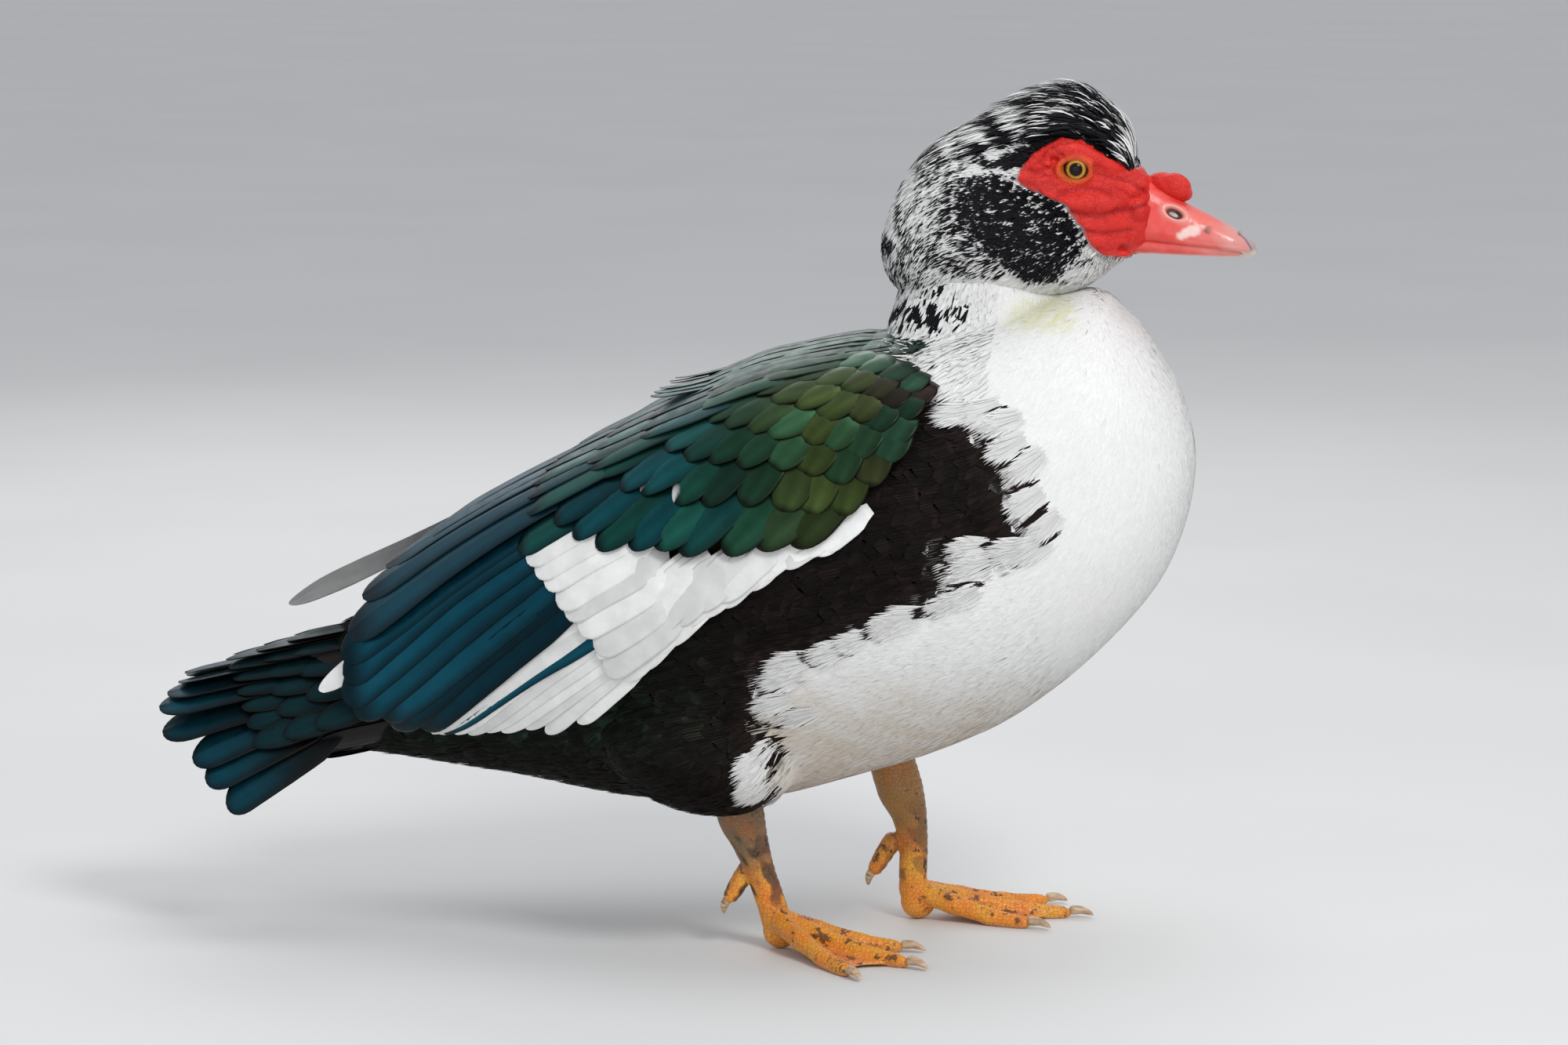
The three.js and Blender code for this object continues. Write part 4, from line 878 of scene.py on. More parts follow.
NOSTRIL = {"forward": 208.5, "up": 395.4, "half": (5.0, 2.5), "turn": -0.42}
PALE_STAIN = {"forward": 216.5, "up": 385.8, "half": (7.5, 3.0), "turn": 0.36}
NAIL_START = 240.5


def oval(forward, up, spot):
    c, s = math.cos(spot["turn"]), math.sin(spot["turn"])
    f, u = forward - spot["forward"], up - spot["up"]
    return np.hypot((f * c + u * s) / spot["half"][0], (-f * s + u * c) / spot["half"][1])


def make_bill():
    finish = bill_finish()
    upper = merged([loft(BILL_UPPER, place_head, 90, 72, 2.3),
                    bulb(at(246, 0, 376.4), (4.2, 4.8, 4.2), 0.5)])
    points, faces, normals = remeshed("upper", upper, VOXEL["bill"], 3)
    forward, up = forward_up(points)
    side = np.abs(points[:, 0])
    hole = oval(forward, up, NOSTRIL)
    flank = ramp(3.0, 6.5, side)
    ahead = ramp(186, 240, forward)
    out = 0.55 * np.exp(-((hole - 1.35) / 0.3) ** 2) * flank - 2.6 * ramp(1.15, 0.55, hole) * flank
    nail = ramp(NAIL_START, NAIL_START + 1.6, forward) * ramp(8.5, 6.5, side)
    out += 0.35 * nail
    lip = np.exp(-((up - mix(381.4, 376.4, ahead)) / 1.0) ** 2) * ramp(3, 8, side)
    groove = 0.3 * np.exp(-((up - mix(384.4, 379, ahead)) / 1.1) ** 2) * ramp(3, 8, side)
    out += 0.28 * lip - groove
    out += 0.10 * ripple(points, 6.0, 1.0) + 0.05 * ripple(points, 2.2, 2.0)
    points = points + normals * out[:, None]
    tone = painted(tone_of("bill_root"), "bill", ramp(206, 221, forward + 3 * ripple(points, 9.0, 3.0)))
    tone = painted(tone, "nostril_rim", 0.5 * ramp(2.2, 1.3, hole) * flank)
    tone = painted(tone, "bill_edge", 0.7 * ramp(3.6, 1.2, up - mix(380, 376, ahead)))
    stain = ramp(1.25, 0.6, oval(forward, up, PALE_STAIN) + 0.25 * ripple(points, 3.0, 6.0)) * flank
    tone = painted(tone, "bill_stain", 0.85 * stain)
    spot = ramp(2.6, 1.4, np.hypot(forward - 226, up - 386.8) + 0.5 * ripple(points, 1.8, 1.0)) * flank
    tone = painted(tone, "bill_spot", 0.8 * spot)
    tone = painted(tone, "bill_tip", 0.55 * ramp(226, 240, forward + 3 * ripple(points, 5.0, 4.0)))
    edge = (nail * np.exp(-((forward - NAIL_START - 1.0) / 0.9) ** 2)
            + nail * np.exp(-((side - 6.2) / 0.9) ** 2))
    tone = painted(tone, "nail", 0.75 * nail)
    tone = painted(tone, "nail_edge", edge.clip(0, 1) * 0.9)
    tone = painted(tone, "nail_end", ramp(377, 374.4, up) * nail)
    # Painted shade: near black inside the sunk nostril.
    tone = painted(tone, "nostril", ramp(1.05, 0.8, hole) * flank)
    bill = new_piece("bill_upper_horn", (points, faces), finish, colours={"Marking": tone})
    finished(bill, ["bill_upper"])
    lower = loft(BILL_LOWER, place_head, 70, 56, 2.4)
    points, faces, normals = remeshed("lower", lower, VOXEL["bill"], 3)
    tone = painted(tone_of("lower_root"), "lower_tip", ramp(205, 240, forward_up(points)[0]))
    tone = tone * (1 + 0.1 * ripple(points, 4.0, 2.0))[:, None]
    points = points + normals * (0.06 * ripple(points, 3.0, 2.0))[:, None]
    bill = new_piece("bill_lower_horn", (points, faces), finish, colours={"Marking": tone})
    finished(bill, ["bill_lower"])


# Legs

# "turns" are the toes' angles from inner to outer, "tan" and "scuffed" the shares of those colours
LEGS = {
    "right": {"hand": -1, "hock": at(-23, -38, 88), "ankle": at(-1, -30, 19), "turns": (2, 28, 54),
              "bend": 0, "tan": 1.0, "scuffed": 0.95},
    "left": {"hand": 1, "hock": at(50, 52, 88), "ankle": at(63, 56, 19), "turns": (-16, 8, 32),
             "bend": 6, "tan": 0.9, "scuffed": 0.5},
}
TOES = {"inner": 70, "middle": 88, "outer": 84}
CLAW_LENGTH = 12
TOE_RADII = (6.6, 5.6, 4.9, 4.4, 3.4)
TOE_ARCH = (10, 6.6, 3, 0, 0)
FLAT_DEPTH = 0.6
TOE_JOINTS = (0.36, 0.68)
GROUND_GAP = 0.06


def toe_way(leg, turn):
    angle = np.radians(turn)
    return np.stack(np.broadcast_arrays(leg["hand"] * np.sin(angle), -np.cos(angle), 0 * angle), -1)


def toe_place(leg, turn, distance, up):
    point = leg["ankle"] + toe_way(leg, turn) * np.asarray(distance, float)[..., None]
    point[..., 2] = up
    return point


def toe_path(leg, toe):
    turn, length = leg["turns"][list(TOES).index(toe)], TOES[toe]
    radii = np.array(TOE_RADII)
    return toe_place(leg, turn, length * np.linspace(0, 1, 5), radii - FLAT_DEPTH + TOE_ARCH), radii


def shank_path(leg):
    share = np.array([0, 0.2, 0.45, 0.7, 0.9, 1.14])
    points = mix(leg["hock"], leg["ankle"], share[:, None])
    points[:, 1] -= leg["bend"] * np.sin(np.pi * np.minimum(share, 1))
    points[0, 2] += 8
    return points, np.array([12, 12.5, 9.4, 7.6, 7.6, 9.0])


def web_form(leg, first):
    across, along = 14, 18
    mixes, runs = np.linspace(0, 1, across)[None], np.linspace(0, 1, along)[:, None]
    turn = mix(leg["turns"][first], leg["turns"][first + 1], mixes)
    lengths = list(TOES.values())
    reach = (mix(lengths[first], lengths[first + 1], mixes) - 6) * (1 - 0.14 * np.sin(np.pi * mixes))
    sag = 1.6 * np.sin(np.pi * mixes) + 0.35 * np.sin(9 * mixes + 7 * runs)
    level = 4.4 + 10 * (1 - runs) ** 1.5 - sag
    flat = leg["ankle"] + toe_way(leg, turn) * mix(6, reach, runs)[..., None]
    upper, lower = flat.copy(), flat.copy()
    upper[..., 2], lower[..., 2] = level, level - 2.4 + 0.5 * runs
    return closed_sheet(upper, lower)


def closed_sheet(upper, lower):
    rows, columns = upper.shape[:2]
    points = np.concatenate([upper.reshape(-1, 3), lower.reshape(-1, 3)])
    top = grid_faces(rows, columns)
    count = rows * columns
    edge = np.concatenate([np.arange(columns), columns * np.arange(1, rows) + columns - 1,
                           count - 2 - np.arange(columns - 1), columns * np.arange(rows - 2, 0, -1)])
    after = np.roll(edge, -1)
    return points, [top, top[:, ::-1] + count, np.stack([edge, edge + count, after + count, after], -1)]


def hind_path(leg):
    root = mix(leg["hock"], leg["ankle"], 0.62)
    step = lambda back, up: root + np.array([leg["hand"] * -1.5, back, up])
    toe = np.array([step(3, 2), step(9, -7), step(14.6, -16.5), step(17, -21)])
    claw = np.array([step(16, -18.6), step(18.4, -22.5), step(18.8, -27)])
    return toe, claw


def along_path(points, path):
    """Share along a path and distance from it, for each point."""
    best, share = np.full(len(points), 1e9), np.zeros(len(points))
    run = np.concatenate([[0], np.cumsum(np.linalg.norm(np.diff(path, axis=0), axis=1))])
    for i in range(len(path) - 1):
        step = path[i + 1] - path[i]
        t = np.clip(((points - path[i]) @ step) / (step @ step), 0, 1)
        away = np.linalg.norm(points - path[i] - t[:, None] * step, axis=1)
        nearer = away < best
        best = np.where(nearer, away, best)
        share = np.where(nearer, run[i] + t * np.linalg.norm(step), share)
    return share, best


def make_legs():
    finish = leg_finish()
    for name, leg in LEGS.items():
        shank, shank_radii = shank_path(leg)
        forms = [bar(shank, shank_radii, 30, 50),
                 bulb(leg["ankle"] * [1, 1, 0] + [0, -3.5, 9.6], (8.2, 9.6, 9.6)),
                 bar(hind_path(leg)[0], [5.2, 5.0, 4.2, 3.2], 20, 26), web_form(leg, 0), web_form(leg, 1)]
        forms += [bar(*toe_path(leg, toe), 20, 44) for toe in TOES]
        points, faces, normals = remeshed("leg", merged(forms), VOXEL["leg"], 6)
        up = points[:, 2]
        upward = ramp(-0.1, 0.5, normals[:, 2])
        out, scute = np.zeros(len(points)), np.zeros(len(points))
        for toe, length in TOES.items():
            run, away = along_path(points, toe_path(leg, toe)[0])
            near = ramp(8.0, 5.6, away)
            joints = sum(np.exp(-((run / length - joint) / 0.05) ** 2) for joint in TOE_JOINTS)
            out += near * (0.5 * joints + 0.30 * upward * np.abs(np.sin(np.pi * run / 3.3)) ** 0.6)
            scute = np.maximum(scute, near)
        run = along_path(points, shank)[0]
        front = ramp(0.1, 0.7, -normals[:, 1])
        on_shank = ramp(20, 28, up)
        out += on_shank * front * (0.45 * np.abs(np.sin(np.pi * run / 4.2)) ** 0.5)
        out += 0.12 * ripple(points, 3.0, 1.0)
        points = points + normals * out[:, None]
        points[:, 2] = np.maximum(points[:, 2], GROUND_GAP)
        tone = painted(tone_of("foot"), "foot_light", 0.5 + 0.5 * ripple(points, 12, 3.0))
        pink = (1 - scute) * ramp(22, 12, up) * ramp(0.2, 0.8, normals[:, 2])
        tone = painted(tone, "web", 0.8 * pink)
        high = ramp(30, 56, up + 6 * ripple(points, 14, 2.0))
        tone = painted(tone, "shank_" + name, high * leg["tan"])
        middle = ramp(18, 30, up) * ramp(74, 56, up)
        worn = middle * ramp(-0.1, 0.4, ripple(points, 6, 6.0) + 0.9 * front - 0.25)
        tone = painted(tone, "scuff", worn * leg["scuffed"])
        tone = painted(tone, "sole", 0.5 * ramp(3, 0.5, up))
        stain = np.clip(0.8 * ramp(70, 40, up) + 0.7 * on_shank * front, 0, 1)
        stain = stain * ramp(-0.4, 0.2, normals[:, 2] + front)
        piece = new_piece("leg_" + name, (points, faces), finish, colours={"Marking": tone},
                          numbers={"Stain": stain})
        finished(piece, ["shank_" + name, "foot_" + name])


def make_claws():
    finish = claw_finish()
    for name, leg in LEGS.items():
        for k, (toe, length) in enumerate(TOES.items()):
            reach = np.array([-1.5, 0.35, 0.7, 1.0]) * [1, CLAW_LENGTH, CLAW_LENGTH, CLAW_LENGTH]
            path = toe_place(leg, leg["turns"][k], length + reach, np.array([4.2, 4.5, 3.4, 1.5]))
            claw = new_piece(f"claw_{toe}_{name}_horn", bar(path, [3.1, 2.7, 1.9, 0.7], 18, 26, 0.85), finish)
            finished(claw, [f"claw_{toe}_{name}"])
        path = hind_path(leg)[1]
        claw = new_piece(f"claw_hind_{name}_horn", bar(path, [2.7, 2.1, 0.7], 18, 26), finish)
        finished(claw, [f"claw_hind_{name}"])


# Stage: floor, soft lamps and the camera where the picture was taken from

VIEW = {"azimuth": 278, "elevation": 8, "distance": 3000, "target": (0, MIDDLE_FORWARD, 226),
        "lens": 128.57}
FLOOR_RINGS, FLOOR_STEPS = (600, 3000, 32000), 96
# Name, place in metres, size and power of each lamp
LAMPS = [
    ("key", (-1.9, -1.5, 2.3), 1.0, 42), ("fill", (-2.4, -0.3, 0.5), 2.0, 9),
    ("top", (0.2, -0.1, 2.6), 1.6, 12), ("rim", (1.9, 0.6, 1.5), 1.4, 9),
]


def make_stage(floor_colour, daylight):
    target = Vector(VIEW["target"]) * MM
    a, e = math.radians(VIEW["azimuth"]), math.radians(VIEW["elevation"])
    back = Vector((math.sin(a) * math.cos(e), -math.cos(a) * math.cos(e), math.sin(e)))
    camera = bpy.data.objects.new("camera", bpy.data.cameras.new("camera"))
    camera.data.lens, camera.data.sensor_width = VIEW["lens"], 36
    camera.location = target + back * VIEW["distance"] * MM
    camera.rotation_euler = (-back).to_track_quat("-Z", "Y").to_euler()
    bpy.context.scene.collection.objects.link(camera)
    bpy.context.scene.camera = camera
    f = Finish("Pale floor")
    shade = f.span(f.noise(3.0, 3.0), 0.3, 0.7, 0.97, 1.0)
    f.wire(Base_Color=f.shaded((*floor_colour, 1), shade), Roughness=0.75)
    step = np.arange(FLOOR_STEPS)
    turns = 2 * np.pi * step / FLOOR_STEPS
    rings = np.stack([np.stack([r * np.cos(turns), r * np.sin(turns), 0 * turns], -1) for r in FLOOR_RINGS])
    points = np.concatenate([rings.reshape(-1, 3), [[0, 0, 0]]])
    hub = np.stack([step, (step + 1) % FLOOR_STEPS, np.full(FLOOR_STEPS, len(points) - 1)], -1)
    faces = [grid_faces(len(rings), FLOOR_STEPS, True)[:, ::-1], hub]
    floor = new_piece("floor", (points, faces), f.material, smooth=False)
    for name, place, size, power in LAMPS:
        lamp = bpy.data.lights.new(name, "AREA")
        lamp.shape, lamp.size, lamp.energy = "DISK", size, power
        light = bpy.data.objects.new("lamp_" + name, lamp)
        light.location = place
        light.rotation_euler = (target - light.location).to_track_quat("-Z", "Y").to_euler()
        bpy.context.scene.collection.objects.link(light)
    world = bpy.data.worlds.new("Pale room")
    world.use_nodes = True
    world.node_tree.nodes["Background"].inputs["Color"].default_value = (0.93, 0.95, 1.0, 1)
    world.node_tree.nodes["Background"].inputs["Strength"].default_value = daylight
    bpy.context.scene.world = world
    bpy.context.scene.view_settings.view_transform = "Standard"


# Plumage

PLUMAGE_FINISHES = {
    "flight": (plumage_finish, "Flight plumage", 0.36, 0.8),
    "body": (plumage_finish, "Body plumage", 0.55, 0.3),
    "strand": (strand_finish, "Head plumage", 0.6),
}
MADE = {}


def feather_finish(kind):
    """The finish of a kind of feather, made once for all its pieces."""
    if kind not in MADE:
        make, *settings = PLUMAGE_FINISHES[kind]
        MADE[kind] = make(*settings)
    return MADE[kind]
class Plumage:
    """Gathers feathers into one mesh, with their colours, barbs and places on the coat's map."""

    def __init__(self):
        self.points, self.faces, self.marking, self.maps = [], [], [], []
        self.numbers = {"Gloss": [], "Barb": [], "Shaft": []}
        self.start = 0

    def add(self, points, faces, marking, gloss, barb, shaft, spots):
        """Arrays of feathers that share one grid: points (n, k, 3), faces within one feather."""
        n, k = points.shape[:2]
        starts = (self.start + k * np.arange(n))[:, None, None]
        self.faces += [(group[None] + starts).reshape(-1, group.shape[1]) for group in faces]
        self.points.append(points.reshape(-1, 3))
        self.marking.append(np.broadcast_to(marking, (n, k, 3)).reshape(-1, 3))
        self.maps.append(np.broadcast_to(spots, (n, k, 2)).reshape(-1, 2))
        for label, values in (("Gloss", gloss), ("Barb", barb), ("Shaft", shaft)):
            self.numbers[label].append(np.broadcast_to(values, (n, k)).reshape(-1))
        self.start += n * k

    def piece(self, name, kind, slot, nodes=()):
        piece = new_piece(name, (np.concatenate(self.points), self.faces), feather_finish(kind),
                          colours={"Marking": np.clip(np.concatenate(self.marking), 0, 1)},
                          numbers={k: np.concatenate(v) for k, v in self.numbers.items()},
                          maps={"OFBake": np.concatenate(self.maps)})
        return finished(piece, nodes)


class Bed:
    """The form that the folded wings lie on, addressed by arc from the middle of the back."""

    def __init__(self):
        self.distances, self.arcs = np.arange(20, 541, 4.0), np.arange(0, 241, 3.0)
        turns = np.linspace(0, np.pi, 181)
        n, side = BED_SECTION(self.distances[:, None], turns[None])
        walked = np.concatenate([np.zeros((len(n), 1)), np.cumsum(np.hypot(np.diff(n), np.diff(side)), 1)], 1)
        self.angles = np.stack([np.interp(self.arcs, row, turns) for row in walked])

    def angle(self, distance, arc):
        i = np.clip((distance - self.distances[0]) / 4, 0, len(self.distances) - 1.001)
        j = np.clip(np.abs(arc) / 3, 0, len(self.arcs) - 1.001)
        a, b = i.astype(int), j.astype(int)
        u, v = i - a, j - b
        t = self.angles
        return ((1 - u) * (1 - v) * t[a, b] + u * (1 - v) * t[a + 1, b]
                + (1 - u) * v * t[a, b + 1] + u * v * t[a + 1, b + 1])

    def place(self, distance, arc, height, hand):
        distance, arc = np.broadcast_arrays(np.asarray(distance, float), np.asarray(arc, float))
        angle = self.angle(distance, arc)

        def spot(d, a):
            n, side = BED_SECTION(d, a)
            return along_body(d, n, hand * side)
        along = spot(distance + 2, angle) - spot(distance - 2, angle)
        around = spot(distance, angle + 0.04) - spot(distance, angle - 0.04)
        out = unit(np.cross(around, along)) * hand
        return spot(distance, angle) + out * np.asarray(height)[..., None]


BED = Bed()
FLIGHT_COLUMNS = np.array([-1, -0.88, -0.5, -0.08, 0, 0.08, 0.5, 0.88, 1])
COVERT_COLUMNS = np.array([-1, -0.84, -0.4, 0, 0.4, 0.84, 1])
VANE_THICKNESS = 0.4


def vane_outline(share, base=0.5, full=0.32, tip=0.16):
    """Half width of a vane along its length: slim at the root and rounded at the tip."""
    end = np.clip((share - (1 - tip)) / tip, 0, 1)
    return mix(base, 1, ramp(0, full, share)) * (1 - end ** 2.0) ** 0.5


def vane_grid(rows, columns):
    """Shares along a vane, closer together at its tip, and the faces of its closed sheet."""
    share = 1 - (1 - np.linspace(0, 1, rows)) ** 1.75
    dummy = np.zeros((rows, columns, 3))
    return share, closed_sheet(dummy, dummy)[1]


class Feather:
    """How one tier's feathers are made: outline, cup, camber and height over the bed."""

    def __init__(self, width, slope=0.1, lift=(0, 0, 0, 0), lift_at=(0, 0.3, 0.86, 1), rows=14,
                 columns=FLIGHT_COLUMNS, cup=0.06, tip=0.16, base=0.5):
        self.width, self.slope, self.columns, self.cup = width, slope, columns, cup
        self.share, self.faces = vane_grid(rows, len(columns))
        self.outline = vane_outline(self.share, base, 0.32, tip)
        self.lift = curve_through(lift_at, lift)(self.share)

    def heights(self, rng):
        """Height of each point over the feather's own bed, and the half width along it."""
        half = self.width / 2 * self.outline[:, None]
        u = self.columns[None]
        wave = 0.10 * np.sin(9 * self.share[:, None] + 4 * u + rng.uniform(0, 6))
        shaft = 0.22 * np.exp(-(u / 0.07) ** 2)
        return (self.lift[:, None] + self.slope * half * u - self.cup * half * u ** 2 + shaft + wave), half

    def frayed(self, half, rng):
        """Edges of the vane split here and there where barbs part."""
        nick = 1 - 0.012 * rng.random((len(self.share), 2))
        across = self.columns[None] * half
        across[:, 0] *= nick[:, 0]
        across[:, -1] *= nick[:, 1]
        return across


def cell_map(index, total, share, columns):
    """A feather's own cell on the map of a piece of large feathers."""
    side = math.ceil(math.sqrt(total))
    x = (index % side + 0.06 + 0.88 * (columns[None] + 1) / 2) / side
    y = (index // side + 0.04 + 0.92 * share[:, None]) / side
    flat = np.stack(np.broadcast_arrays(x, y), -1).reshape(-1, 2)
    return np.concatenate([flat, flat])


def lay_vane(plumage, feather, place, length, marking, gloss, cell, rng):
    """Adds one feather. place(share, across, height) gives points; marking(share, u) colours."""
    height, half = feather.heights(rng)
    across = feather.frayed(half, rng)
    share = np.broadcast_to(feather.share[:, None], across.shape)
    thin = VANE_THICKNESS * (1 - 0.5 * share)
    upper = place(share, across, height)
    lower = place(share, across, height - thin)
    colour = marking(share, np.broadcast_to(feather.columns[None], across.shape)).reshape(-1, 3)
    barb = (share * length + np.abs(across) * 0.9).reshape(-1)
    shaft = np.broadcast_to(np.exp(-(feather.columns[None] / 0.05) ** 2), across.shape).reshape(-1)
    twice = lambda a: np.concatenate([a, a])[None]
    colours = np.concatenate([colour, colour * (0.7 if gloss else 0.98)])
    plumage.add(np.concatenate([upper.reshape(-1, 3), lower.reshape(-1, 3)])[None], feather.faces,
                colours[None], gloss, twice(barb), twice(shaft),
                cell_map(*cell, feather.share, feather.columns)[None])


def curve_on(rows, share):
    rows = np.array(rows, float)
    spread = np.linspace(0, 1, len(rows))
    return np.array([curve_through(spread, rows[:, k])(share) for k in range(rows.shape[1])])


# Tiers of the wing, from the lowest to the uppermost. Roots and tips are (distance along the
# body, arc from the middle of the back) of the first to the last feather.
WING_TIERS = [
    dict(name="primary", count=9, width=13.5, slope=0.15, roots=[(300, 136), (292, 170)],
         tips=[(427, 134), (398, 155), (346, 182)], lift=(-2.4, 0.6, 0.7, 0.5), tip=0.2),
    dict(name="strip", count=2, width=11, slope=0.12, roots=[(300, 151), (300, 142)],
         tips=[(422, 142), (428, 136)], lift=(-2.4, 1.5, 1.6, 1.2), tip=0.25),
    dict(name="secondary", count=7, width=25, slope=0.11, roots=[(302, 68), (302, 121)],
         tips=[(462, 64), (467, 86), (456, 106), (436, 124)], lift=(-2.2, 2.1, 2.4, 1.8), tip=0.10),
    dict(name="tertial", count=5, width=24, slope=0.08, roots=[(244, 14), (258, 62)],
         tips=[(404, 12), (424, 24), (441, 39), (459, 60)], lift=(-0.6, 5.0, 6.2, 4.6), tip=0.12),
    dict(name="greater", count=9, width=20, slope=0.10, roots=[(284, 80), (262, 158)],
         tips=[(352, 78), (341, 104), (329, 130), (316, 164)], lift=(-0.6, 4.4, 4.6, 3.4), tip=0.2),
    dict(name="edge", count=15, width=14, slope=0.08, roots=[(160, 142), (190, 148), (225, 152), (270, 162)],
         tips=[(190, 155), (222, 158), (266, 165), (312, 176)], lift=(0.2, 2.4, 2.8, 1.6), tip=0.3),
    dict(name="edge", count=7, width=15, slope=0.09, roots=[(206, 146), (240, 140), (262, 132)],
         tips=[(252, 162), (288, 162), (322, 156)], lift=(0.0, 3.4, 4.2, 3.0), tip=0.3),
    dict(name="median", count=9, width=25, slope=0.08,
         roots=[(272, 66), (250, 92), (224, 107), (194, 116), (160, 118)],
         tips=[(330, 80), (306, 107), (276, 122), (240, 139), (202, 151)],
         lift=(-0.4, 5.0, 7.0, 5.6), tip=0.44),
    dict(name="lesser", count=9, width=24, slope=0.06, roots=[(252, 58), (226, 84), (196, 100), (160, 112)],
         tips=[(303, 68), (277, 94), (246, 113), (206, 132), (176, 141)],
         lift=(0.4, 6.2, 7.6, 6.2), tip=0.52),
    dict(name="lesser", count=9, width=23.5, slope=0.06, roots=[(232, 52), (204, 76), (178, 92), (148, 104)],
         tips=[(278, 60), (252, 84), (224, 102), (190, 120), (162, 132)],
         lift=(1.0, 6.6, 7.9, 6.6), tip=0.52),
    dict(name="lesser", count=9, width=22.5, slope=0.06, roots=[(210, 46), (184, 68), (162, 84), (138, 100)],
         tips=[(254, 53), (230, 75), (204, 93), (174, 109), (152, 122)],
         lift=(1.0, 6.4, 7.7, 6.5), tip=0.52),
    dict(name="lesser", count=8, width=21.5, slope=0.06, roots=[(188, 40), (164, 62), (146, 76), (132, 92)],
         tips=[(230, 47), (207, 67), (184, 84), (160, 100), (144, 112)],
         lift=(1.0, 6.0, 7.2, 6.0), tip=0.52),
    dict(name="lesser", count=7, width=20.5, slope=0.06, roots=[(168, 38), (150, 56), (136, 68), (126, 84)],
         tips=[(207, 43), (186, 60), (166, 75), (148, 90), (138, 102)],
         lift=(0.8, 5.2, 6.2, 5.2), tip=0.52),
    dict(name="lesser", count=6, width=20, slope=0.06, roots=[(150, 36), (136, 50), (124, 64), (118, 78)],
         tips=[(184, 40), (166, 54), (150, 67), (136, 80), (130, 92)], lift=(0.4, 4.0, 5.0, 4.2), tip=0.52),
    dict(name="scapular", count=6, width=20, slope=0.07, roots=[(206, 10), (232, 62)],
         tips=[(320, 12), (338, 38), (342, 64)], lift=(-0.4, 5.8, 7.8, 6.6), tip=0.42),
    dict(name="scapular", count=6, width=20, slope=0.07, roots=[(190, 10), (212, 58)],
         tips=[(286, 12), (304, 36), (308, 60)], lift=(-0.2, 6.4, 8.6, 7.6), tip=0.42),
    dict(name="scapular", count=6, width=19, slope=0.07, roots=[(172, 10), (190, 54)],
         tips=[(254, 12), (272, 34), (276, 55)], lift=(0.0, 6.8, 9.2, 8.4), tip=0.42),
    dict(name="mantle", count=3, width=13, slope=0.05, roots=[(214, 16), (222, 30)],
         tips=[(262, 15), (268, 27)], lift=(3.0, 8.0, 13.5, 15.5), tip=0.42),
    dict(name="mantle", count=6, width=18, slope=0.06, roots=[(156, 8), (168, 50)],
         tips=[(226, 12), (242, 32), (246, 52)], lift=(0.2, 6.4, 8.8, 8.0), tip=0.42),
    dict(name="mantle", count=6, width=17, slope=0.06, roots=[(140, 8), (148, 46)],
         tips=[(200, 11), (214, 30), (217, 48)], lift=(0.2, 5.6, 7.6, 7.0), tip=0.42),
    dict(name="mantle", count=6, width=16, slope=0.06, roots=[(124, 7), (130, 44)],
         tips=[(176, 10), (188, 28), (190, 45)], lift=(-0.8, 2.6, 4.2, 3.6), tip=0.42),
    dict(name="mantle", count=6, width=15, slope=0.06, roots=[(108, 6), (112, 42)],
         tips=[(154, 9), (163, 26), (165, 42)], lift=(-1.5, 0.6, 1.8, 1.4), tip=0.42),
]
LONG_PRIMARIES = {
    "right": dict(name="long", count=1, width=15, slope=0.08, roots=[(306, 90)] * 2, tips=[(484, 73)] * 2,
                  lift=(-2.4, -1.6, -1.4, -1.0), tip=0.2),
    "left": dict(name="long", count=1, width=22, slope=0.06, roots=[(306, 50)] * 2, tips=[(505, 24)] * 2,
                 lift=(-2.4, 2, 11, 12, 9), lift_at=(0, 0.3, 0.55, 0.86, 1), tip=0.22),
}
FLIGHTS = ("primary", "strip", "secondary", "tertial", "long")


def wing_tone(name, index, distance, arc):
    """Inner and rim colour of a wing feather and its shimmer."""
    white = (name in ("primary", "long", "edge") or (name == "strip" and index == 1)
             or (name == "greater" and index > 0))
    if white:
        return tone_of("white"), tone_of("white") * 0.93, 0.0
    bronze = ramp(270, 190, distance) * ramp(30, 70, arc)
    inner = mix(tone_of("teal"), tone_of("blue"), ramp(300, 420, distance))
    inner = mix(inner, tone_of("green"), 0.8 * ramp(300, 230, distance))
    inner = mix(inner, tone_of("bronze"), bronze)
    inner = mix(inner, tone_of("flank") * 1.6, ramp(176, 140, distance) * ramp(20, 60, arc))
    rim = mix(inner * 0.22, tone_of("flank"), 0.6 - 0.3 * ramp(250, 330, distance))
    return inner, rim, 1.0


